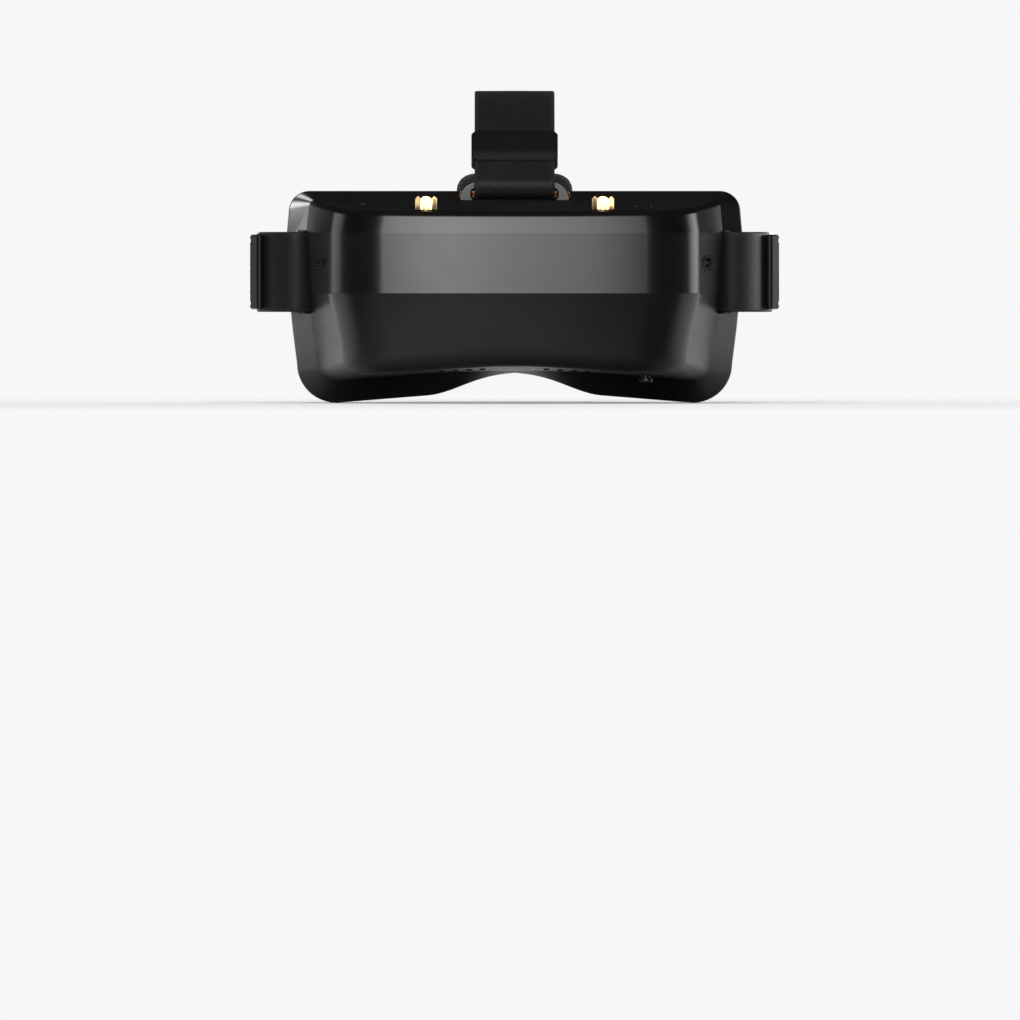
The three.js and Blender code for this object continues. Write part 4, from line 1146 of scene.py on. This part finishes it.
def distance_in(points, outline):
    """Distance of each (x, z) point to an outline."""
    a, b = outline, np.roll(outline, -1, 0)
    best = np.full(len(points), 1e9)
    for p, q in zip(a, b):
        e = q - p
        share = np.clip(((points - p) @ e) / max(e @ e, 1e-9), 0, 1)
        best = np.minimum(best, np.linalg.norm(points - p - share[:, None] * e, axis=1))
    return best


def remeshed(obj, voxel):
    modifier = obj.modifiers.new("Remesh", "REMESH")
    modifier.mode = "VOXEL"
    modifier.voxel_size = voxel * MM
    return apply_modifiers(obj)


def pad(name, y_span, outline, voxel, puff, outer_side):
    """One half of the rear pad: a thin cushion, pinched along its seam and rolled at its edge."""
    middle = sum(y_span) / 2
    half = (y_span[1] - y_span[0]) / 2
    levels = [(y_span[0], -0.6), (y_span[0] + 0.5, 0), (y_span[1] - 0.5, 0), (y_span[1], -0.6)]
    obj = remeshed(solid(name, outline, levels, facing_back), voxel)
    points = points_of(obj)
    plan = points[:, (0, 2)] / MM
    inside = distance_in(plan, outline)
    seam = np.exp(-(((inside - STITCH_INSET) / 0.9) ** 2))
    lip = np.sqrt(np.clip(1 - (1 - np.clip(inside / 1.6, 0, 1)) ** 2, 0.02, 1))
    rise = np.clip((inside - STITCH_INSET) / 9, 0, 1)
    outer = np.sign(points[:, 1] - (middle * MM + BACK_Y)) == outer_side
    depth = half * lip - 0.55 * seam + np.where(outer, puff * rise * (2 - rise), 0.1)
    points[:, 1] = BACK_Y + MM * (middle + np.sign(points[:, 1] - (middle * MM + BACK_Y)) * depth)
    put_points(obj, points)
    held = (np.abs(inside - STITCH_INSET) < 0.8) | ~outer | (inside < 0.8)
    swell(obj, held, pressure=6.0, cap=0.9)
    return subdivided(obj)


cover = pad("pad_cover_cushion", COVER_Y, pad_outline(0), 1.0, 1.5, 1)
finished(cover, "leather", "rear_pad", ["pad_cover"])
lining = pad("pad_lining_cushion", LINING_Y, pad_outline(-0.6), 1.0, 1.1, -1)
finished(lining, "lining", "rear_pad", ["pad_lining"])


def seam_stitches(name, outline, y, facing):
    """Stitches round a closed outline in x and z at one depth."""
    loop = np.vstack([outline, outline[:1]])
    length = length_along(loop)
    count = round(length[-1] / STITCH_PITCH)
    pitch = length[-1] / count
    spot = lambda s: [np.interp(s % length[-1], length, loop[:, k]) for k in range(2)]
    ends = []
    for i in range(count):
        (x0, z0), (x1, z1) = spot(i * pitch), spot(i * pitch + STITCH_LENGTH)
        ends.append(((x0, y, z0), (x1, y, z1), (0, facing, 0)))
    return stitches(name, ends)


seam_line = grown(pad_outline(0), -STITCH_INSET)
cover_seam = seam_stitches("cover_stitching", seam_line, COVER_Y[1] - 0.5, 1)
finished(cover_seam, "leather", "rear_pad", material="thread")
lining_seam = seam_stitches("lining_stitching", grown(seam_line, -0.4), LINING_Y[0] + 0.45, -1)
finished(lining_seam, "lining", "rear_pad", material="thread")


# ------------------------------------------------------------------ pull tabs, bracket and slider
TAB = [
    (109.5, -2.2, 0.6), (111.2, -3.7, 1.1), (112.6, -2.6, 1.0), (115.1, 5, 2.4), (115.1, 34, 1.6),
    (112.7, 34, 0.6), (112.7, 11, 0.5), (111.6, 4, 0.5), (110.5, -0.6, 0.4),
]
TAB_HALF = 16.3


def pull_tab(name, side):
    """A rubber tab: a gripping lip in front of a plate that lies on the strap."""
    outline = rounded([(side * x, y, r) for x, y, r in TAB], 6)
    steps = [(-TAB_HALF, -0.7), (-TAB_HALF + 0.2, -0.3), (-TAB_HALF + 0.7, 0)]
    levels = steps + [(-h, g) for h, g in reversed(steps)]
    plan = lambda u, v, w: (u, v, STRAP_MID_Z + w)
    body = solid(name, outline, levels, plan)
    points = points_of(body)
    y, z = (points[:, 1] - BACK_Y) / MM, points[:, 2] / MM - STRAP_MID_Z
    tail = np.clip((y - 28) / 6, 0, 1)
    reach = TAB_HALF - 4.0 * tail**2.2
    points[:, 2] = (STRAP_MID_Z + np.clip(z, -reach, reach)) * MM
    put_points(body, points)
    ribs = [body]
    for k in range(5):
        rib = box_outline(0.45, TAB_HALF - 3.4, 0.44)
        y0 = 8.5 + k * 2.6
        ridge = lambda u, v, w, y0=y0: (side * (115.0 + w), y0 + u, STRAP_MID_Z + v)
        ribs.append(solid("rib", rib, [(-0.6, 0), (0.1, 0), (0.35, -0.25)], ridge))
    return smooth(joined(name + "_body", ribs), 45)


for name, side in (("left", 1), ("right", -1)):
    finished(pull_tab(f"tab_{name}_rubber", side), "rubber", f"tab_{name}", [f"pull_tab_{name}"])
    crossing = []
    for row in (21.0, 24.0):
        for k in range(11):
            z = STRAP_MID_Z - 15 + k * 3
            crossing.append(((side * 115.15, row, z - 0.9), (side * 115.15, row, z + 0.9), (side, 0, 0)))
    finished(stitches(f"tab_{name}_stitching", crossing), "rubber", f"tab_{name}", material="thread")


def bracket():
    """The loop that carries the top strap, moulded with a rounded mouth."""
    front, back = BRACKET_Y
    edges = [(front, -0.8), (front + 0.25, -0.25), (front + 0.8, 0),
             (back - 0.8, 0), (back - 0.25, -0.25), (back, -0.8)]
    body = solid("bracket", bracket_arch(), edges, facing_back)
    mouth = rounded(mirrored([(SLOT_HALF, SLOT_HIGH, 1.4), (SLOT_HALF, SLOT_LOW, 1.4)]), 6)
    levels = [(front - 1, 1.0), (front, 0.8), (front + 0.3, 0.3), (front + 0.9, 0), (back - 0.9, 0),
              (back - 0.3, 0.3), (back, 0.8), (back + 1, 1.0)]
    return smooth(boolean(body, "DIFFERENCE", solid("cutter", mouth, levels, facing_back)), 35)


finished(bracket(), "rim", "housing", ["top_strap_bracket"])


def slider():
    """A tri-glide that follows the strap's arc, with chamfered corners."""
    def arc_body(name, r0, r1, half_angle, width, chamfer, fold=0.0, steps=16):
        rings = []
        for degrees in np.linspace(SLIDER_ANGLE - half_angle, SLIDER_ANGLE + half_angle, steps + 1):
            edge = min(degrees - SLIDER_ANGLE + half_angle, SLIDER_ANGLE + half_angle - degrees)
            cut = max(0.0, chamfer - math.radians(edge) * CROWN_R)
            w = width / 2 - cut
            ring = []
            low_edge = math.radians(SLIDER_ANGLE + half_angle - degrees) * CROWN_R
            top = r1 - max(0.0, fold - low_edge) * 0.4
            for x, r in ((-w, r0), (w, r0), (w, top - 0.5), (w - 0.5, top), (-w + 0.5, top), (-w, top - 0.5)):
                y, z = crown_point(r, degrees)
                ring.append((x, y, z))
            rings.append(ring)
        return loft(name, rings)

    body = arc_body("slider", FREE_END_R - 3, CROWN_R + 3.2, SLIDER_HALF, SLIDER_WIDTH, 1.5, 4.6)
    gap = arc_body("gap", FREE_END_R - 1.4, CROWN_R + 1.3, SLIDER_HALF + 2, STRAP_WIDTH + 0.8, 0)
    return softened_edges(boolean(body, "DIFFERENCE", gap), 0.35, 3)


finished(slider(), "clip_plastic", "top_slider", ["strap_slider"])


# ------------------------------------------------------------------ turned and small pieces
def turned(name, x, y, profile, radius_at=None, count=48, closed=False):
    """A solid of revolution about a vertical axis; radius_at(angle, radius) may shape it.

    A closed profile goes back to its first point, which leaves a bore."""
    rings = []
    for radius, z in profile:
        ring = []
        for k in range(count):
            a = 2 * math.pi * k / count
            r = radius_at(a, radius) if radius_at else radius
            ring.append((x + r * math.cos(a), y + r * math.sin(a), z))
        rings.append(ring)
    return loft(name, rings, closed)


def hexed(flats):
    """Radius of a hexagon with flats facing the front, no further out than a given radius."""
    def radius_at(angle, radius):
        off = (angle - math.pi / 2) % (math.pi / 3)
        off = min(off, math.pi / 3 - off)
        return min(radius, flats / 2 / math.cos(off))
    return radius_at


def antenna(side):
    x, y = side * ANTENNA_X, ANTENNA_Y
    seat, top = top_z(y) - 0.3, ANTENNA_TOP
    corner = ANTENNA_FLATS / math.sqrt(3)
    name = "left" if side > 0 else "right"
    thread_turns = []
    for k in range(9):
        z = top - 0.9 - k * 0.55
        thread_turns += [(3.4, z), (3.62, z - 0.27)]
    nut = [(3.62, seat), (corner - 0.7, seat), (corner, seat + 0.45), (corner, top - 1.2),
           (corner - 0.55, top - 0.28), (4.0, top), (3.75, top), (3.45, top - 0.3), *thread_turns]
    nut = turned(f"antenna_sleeve_{name}_turned", x, y, nut, hexed(ANTENNA_FLATS), 72, closed=True)
    sleeve = smooth(nut, 25)
    finished(sleeve, "gold", "housing", [f"antenna_sleeve_{name}"])
    barrel = [(0.01, 79.6), (2.3, 79.6), (2.3, top - 1.2), (2.5, top - 0.85), (2.9, top - 0.8),
              (3.1, top - 1.05), (3.1, 81), (4.2, 80.9), (4.2, 78.1), (0.01, 78)]
    jack = smooth(turned(f"antenna_jack_{name}_turned", x, y, barrel), 30)
    finished(jack, "gold", "housing", [f"antenna_jack_{name}"])
    plug = [(0.01, 84), (0.6, 84), (0.6, top - 2.2), (0.8, top - 2.05), (1.85, top - 2), (2.0, top - 2.15),
            (2.0, 79.9), (0.01, 79.8)]
    core = smooth(turned(f"antenna_core_{name}_turned", x, y, plug), 30)
    finished(core, "insulator", "housing", [f"antenna_core_{name}"])


for side in (-1, 1):
    antenna(side)


def key(name, x, y, radius, ringed):
    """A push button: a flange under the shell, a round cap with a soft edge and a dished face."""
    top = top_z(y) + 0.35
    edge = 0.5
    profile = [(0.01, 82.1), (radius + 0.8, 82.1), (radius + 0.8, 83), (radius, 83.05), (radius, top - edge)]
    profile += arc(radius - edge, top - edge, edge, 0, math.pi / 2, 5)[1:]
    if ringed:
        groove = ((0.95, 0), (1.1, 0.25), (1.5, 0.25), (1.65, 0))
        profile += [(radius - inward, top - drop) for inward, drop in groove]
    profile += [(radius * 0.4, top - 0.08), (0.01, top - 0.12)]
    return smooth(turned(name, x, y, profile), 35)


finished(key("power_cap", *POWER, True), "button", "power_key", ["power_button"])
for name, spot in KEYS.items():
    finished(key(f"{name}_cap", *spot, False), "button", f"{name}_key", [f"{name}_button"])

lamp_top = top_z(LAMP[1]) - 0.2
lamp_profile = [(0.01, 82.4), (LAMP[2], 82.4), (LAMP[2], lamp_top - 0.5), (LAMP[2] - 0.25, lamp_top - 0.18),
                (LAMP[2] * 0.5, lamp_top - 0.02), (0.01, lamp_top)]
lamp = smooth(turned("status_lamp", *LAMP[:2], lamp_profile, count=32), 50)
finished(lamp, "light_pipe", "housing", ["status_light"])


def nav_cap():
    profile = [(0.01, 9.35), (1.2, 9.3), (2.3, 9.05), (2.75, 9.0), (3.05, 9.25), (3.1, 9.6), (3.1, 10.4),
               (2.9, 10.8), (2.0, 10.85), (2.0, 13.2), (1.4, 13.2), (1.4, 11.4), (0.01, 11.4)]
    knurled = lambda a, r: r - 0.12 * (math.cos(12 * a) > 0) if r > 3.0 else r
    return smooth(turned("joystick_cap_disc", *NAV, profile, knurled, 96), 35)


finished(nav_cap(), "button", "joystick_cap", ["nav_cap"])

# ------------------------------------------------------------------ CAD nodes that are shown
CARRIED = {
    "inner_plastic": "lens_rail_left lens_rail_right side_baffle_left side_baffle_right display_bezel"
                     " fan_frame fan_rotor speaker nav_ring nav_switch dc_jack av_jack",
    "steel": "frame_screw_1 frame_screw_2 frame_screw_3 frame_screw_4 receiver_module",
    "black_nickel": "hdmi_port usb_port card_slot nav_stem strap_pin_left strap_pin_right",
    "aluminium": "heat_sink backlight",
    "circuit_board": "main_board port_board_left port_board_right key_board_left key_board_right",
    "cable": "coax_left coax_right",
    "screen": "display_panel",
    "lens": "lens",
    "hook_tape": "foam_hook_strip",
}
for slot, names in CARRIED.items():
    for name in names.split():
        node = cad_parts[name]
        node.data.materials.clear()
        node.data.materials.append(FINISH[slot])
        softened_edges(node, 0.12 if slot in ("steel", "circuit_board", "lens") else 0.25)

# ------------------------------------------------------------------ stage
PALE = (0.93, 0.93, 0.93)
REFLECTED_PALE = 0.3  # the far floor's share of that in every ray but the camera's
FELT_PALE = 0.008  # strength of the backdrop in every ray but the camera's
FLOOR_SHADE = (0.52, 0.52, 0.52)
FLOOR_R = 12.0
PAINTED_POOL = (-0.03, -0.16, 0.0)  # a pool of light painted on the part of the floor that the lower visor band reflects
SHADOW_R = 0.55  # the floor fades into an even backdrop about this far out
LIT_SPOT = (0, -0.02, 0.06)  # where the lights point


def floor():
    """A disc. The camera sees it whole; in other rays it is black but for pools of light painted on the parts
    that suit the goggles' reflections.
    """
    count = 96
    turn = np.linspace(0, 2 * math.pi, count, endpoint=False)
    disc = np.column_stack([np.cos(turn), np.sin(turn), np.zeros(count)])
    rows = np.array([radius * disc for radius in np.geomspace(0.02, FLOOR_R, 24)])
    mesh = bpy.data.meshes.new("floor")
    faces = ring_faces(len(rows), count, caps=False) + [tuple(range(count))]
    mesh.from_pydata(rows.reshape(-1, 3).tolist(), [], faces)
    obj = added("floor", mesh)
    s = Surface("floor", Roughness=0.9, Specular_IOR_Level=0.0)
    where = s.place()
    away = s.node("VectorMath", {0: where}, operation="LENGTH").outputs["Value"]
    mottle = s.noise(where, 700, 3)
    seen = s.node("LightPath").outputs["Is Camera Ray"]
    tone = s.colours(mottle, (0.3, FLOOR_SHADE), (0.7, tuple(c * 1.03 for c in FLOOR_SHADE)))
    aside = s.node("VectorMath", {0: where, 1: PAINTED_POOL}, operation="DISTANCE").outputs["Value"]
    # Painted pool of light round that spot, seen only in reflections.
    card = s.mapped(aside, 0.04, 0.13, 0.8, 0.12)
    # Painted light on the floor near and behind the goggles, dim out in front, seen only in reflections.
    painted_near_light = s.mapped(s.part(where, 1), -0.12, -0.08, 0.12, 0.9)
    painted_floor_light = s.math("MAXIMUM", card, painted_near_light)
    s.use(Base_Color=s.mix(s.math("MAXIMUM", seen, painted_floor_light), (0, 0, 0), tone))
    strength = s.mapped(seen, 0.0, 1.0, REFLECTED_PALE, 1.0)
    even_light = s.node("Emission", {"Color": PALE, "Strength": strength})
    mixed = s.node("MixShader", {0: s.mapped(away, SHADOW_R * 0.35, SHADOW_R * 1.7, 0.0, 1.0)})
    s.tree.links.new(s.shader.outputs[0], mixed.inputs[1])
    s.tree.links.new(even_light.outputs[0], mixed.inputs[2])
    s.tree.links.new(mixed.outputs[0], s.tree.nodes["Material Output"].inputs["Surface"])
    mesh.materials.append(s.material)


def aim(obj, place, target):
    """Puts a light or a camera somewhere, looking at a target."""
    obj.location = place
    obj.rotation_mode = "QUATERNION"
    obj.rotation_quaternion = (Vector(target) - Vector(place)).to_track_quat("-Z", "Y")


def softbox(name, place, size, power, spread=180, diffuse=True, glossy=True, only=()):
    """A panel aimed at the goggles. It may fade off its axis, or light only some of the pieces."""
    light = bpy.data.lights.new(name, "AREA")
    light.shape = "RECTANGLE"
    light.size, light.size_y = size
    light.energy = power
    light.spread = math.radians(spread)
    obj = added(name, light)
    aim(obj, place, LIT_SPOT)
    obj.visible_camera = False
    obj.visible_diffuse = diffuse
    obj.visible_glossy = glossy
    if only:
        lit = bpy.data.collections.new(name + "_lit")
        for piece in only:
            lit.objects.link(bpy.data.objects[piece])
        obj.light_linking.receiver_collection = lit


def studio():
    """A pale surround seen by the camera, dim in other rays, and softboxes for the shape.

    The rim and strap lights show only in the reflections of those pieces, as edge highlights."""
    world = bpy.data.worlds.new("studio")
    world.use_nodes = True
    tree = world.node_tree
    seen, felt = tree.nodes["Background"], tree.nodes.new("ShaderNodeBackground")
    seen.inputs[0].default_value, seen.inputs[1].default_value = (*PALE, 1), 1.0
    felt.inputs[0].default_value, felt.inputs[1].default_value = (1, 1, 1, 1), FELT_PALE
    ray, mix = tree.nodes.new("ShaderNodeLightPath"), tree.nodes.new("ShaderNodeMixShader")
    tree.links.new(ray.outputs["Is Camera Ray"], mix.inputs[0])
    tree.links.new(felt.outputs[0], mix.inputs[1])
    tree.links.new(seen.outputs[0], mix.inputs[2])
    tree.links.new(mix.outputs[0], tree.nodes["World Output"].inputs["Surface"])
    bpy.context.scene.world = world
    rim = dict(diffuse=False, only=("rear_frame_skin",))
    straps = dict(diffuse=False, only=("side_strap_left_web", "side_strap_right_web"))
    softbox("front", (-0.08, -2.4, 0.7), (2.0, 1.6), 13.5, spread=90)
    softbox("front_left", (-0.6, -2.35, 0.65), (0.76, 1.4), 2.2, spread=90)
    softbox("overhead", (0.0, -0.1, 1.8), (1.3, 1.3), 34, glossy=False)
    softbox("left_edge", (-1.5, 0.8, 0.26), (0.9, 0.8), 2.6)
    softbox("right_edge", (1.4, 0.85, 0.12), (0.8, 0.7), 4.6)
    softbox("upper_rim", (-1.15, 0.6, 1.6), (0.5, 0.5), 14, **rim)
    softbox("left_rim", (-1.6, -0.02, 0.58), (0.8, 0.6), 30, **rim)
    for side in (-1, 1):
        softbox("low_rim", (side * 0.22, -0.05, 0.02), (0.2, 0.04), 0.035, **rim)
    softbox("rear_key", (-1.1, 1.75, 1.9), (1.2, 1.2), 36, glossy=False)
    softbox("rear_fill", (0.8, 2.2, 0.5), (1.2, 1.0), 62, glossy=False)
    softbox("rear_gloss", (0.3, 2.3, 0.3), (1.9, 0.8), 75, **straps)
    softbox("strap_gloss", (2.25, 0.75, 0.35), (1.3, 0.8), 52, **straps)


CAMERA_FALL = 0.006  # the photograph is level; this keeps the camera above the floor
CAMERA_DISTANCE = 20.0
PICTURE_WIDTH = 0.445  # metres across the picture at the goggles
PICTURE_MIDDLE = (-0.002, 0, -0.047)  # below the goggles, which the photograph has in its upper half


def camera():
    view = bpy.data.cameras.new("camera")
    view.sensor_width = 36
    view.lens = view.sensor_width * (CAMERA_DISTANCE - 0.02) / PICTURE_WIDTH
    view.clip_end = 60
    obj = added("camera", view)
    x, _, z = PICTURE_MIDDLE
    aim(obj, (x, -CAMERA_DISTANCE, z + CAMERA_DISTANCE * CAMERA_FALL), PICTURE_MIDDLE)
    bpy.context.scene.camera = obj


floor()
studio()
camera()
bpy.context.scene.view_settings.view_transform = "Standard"
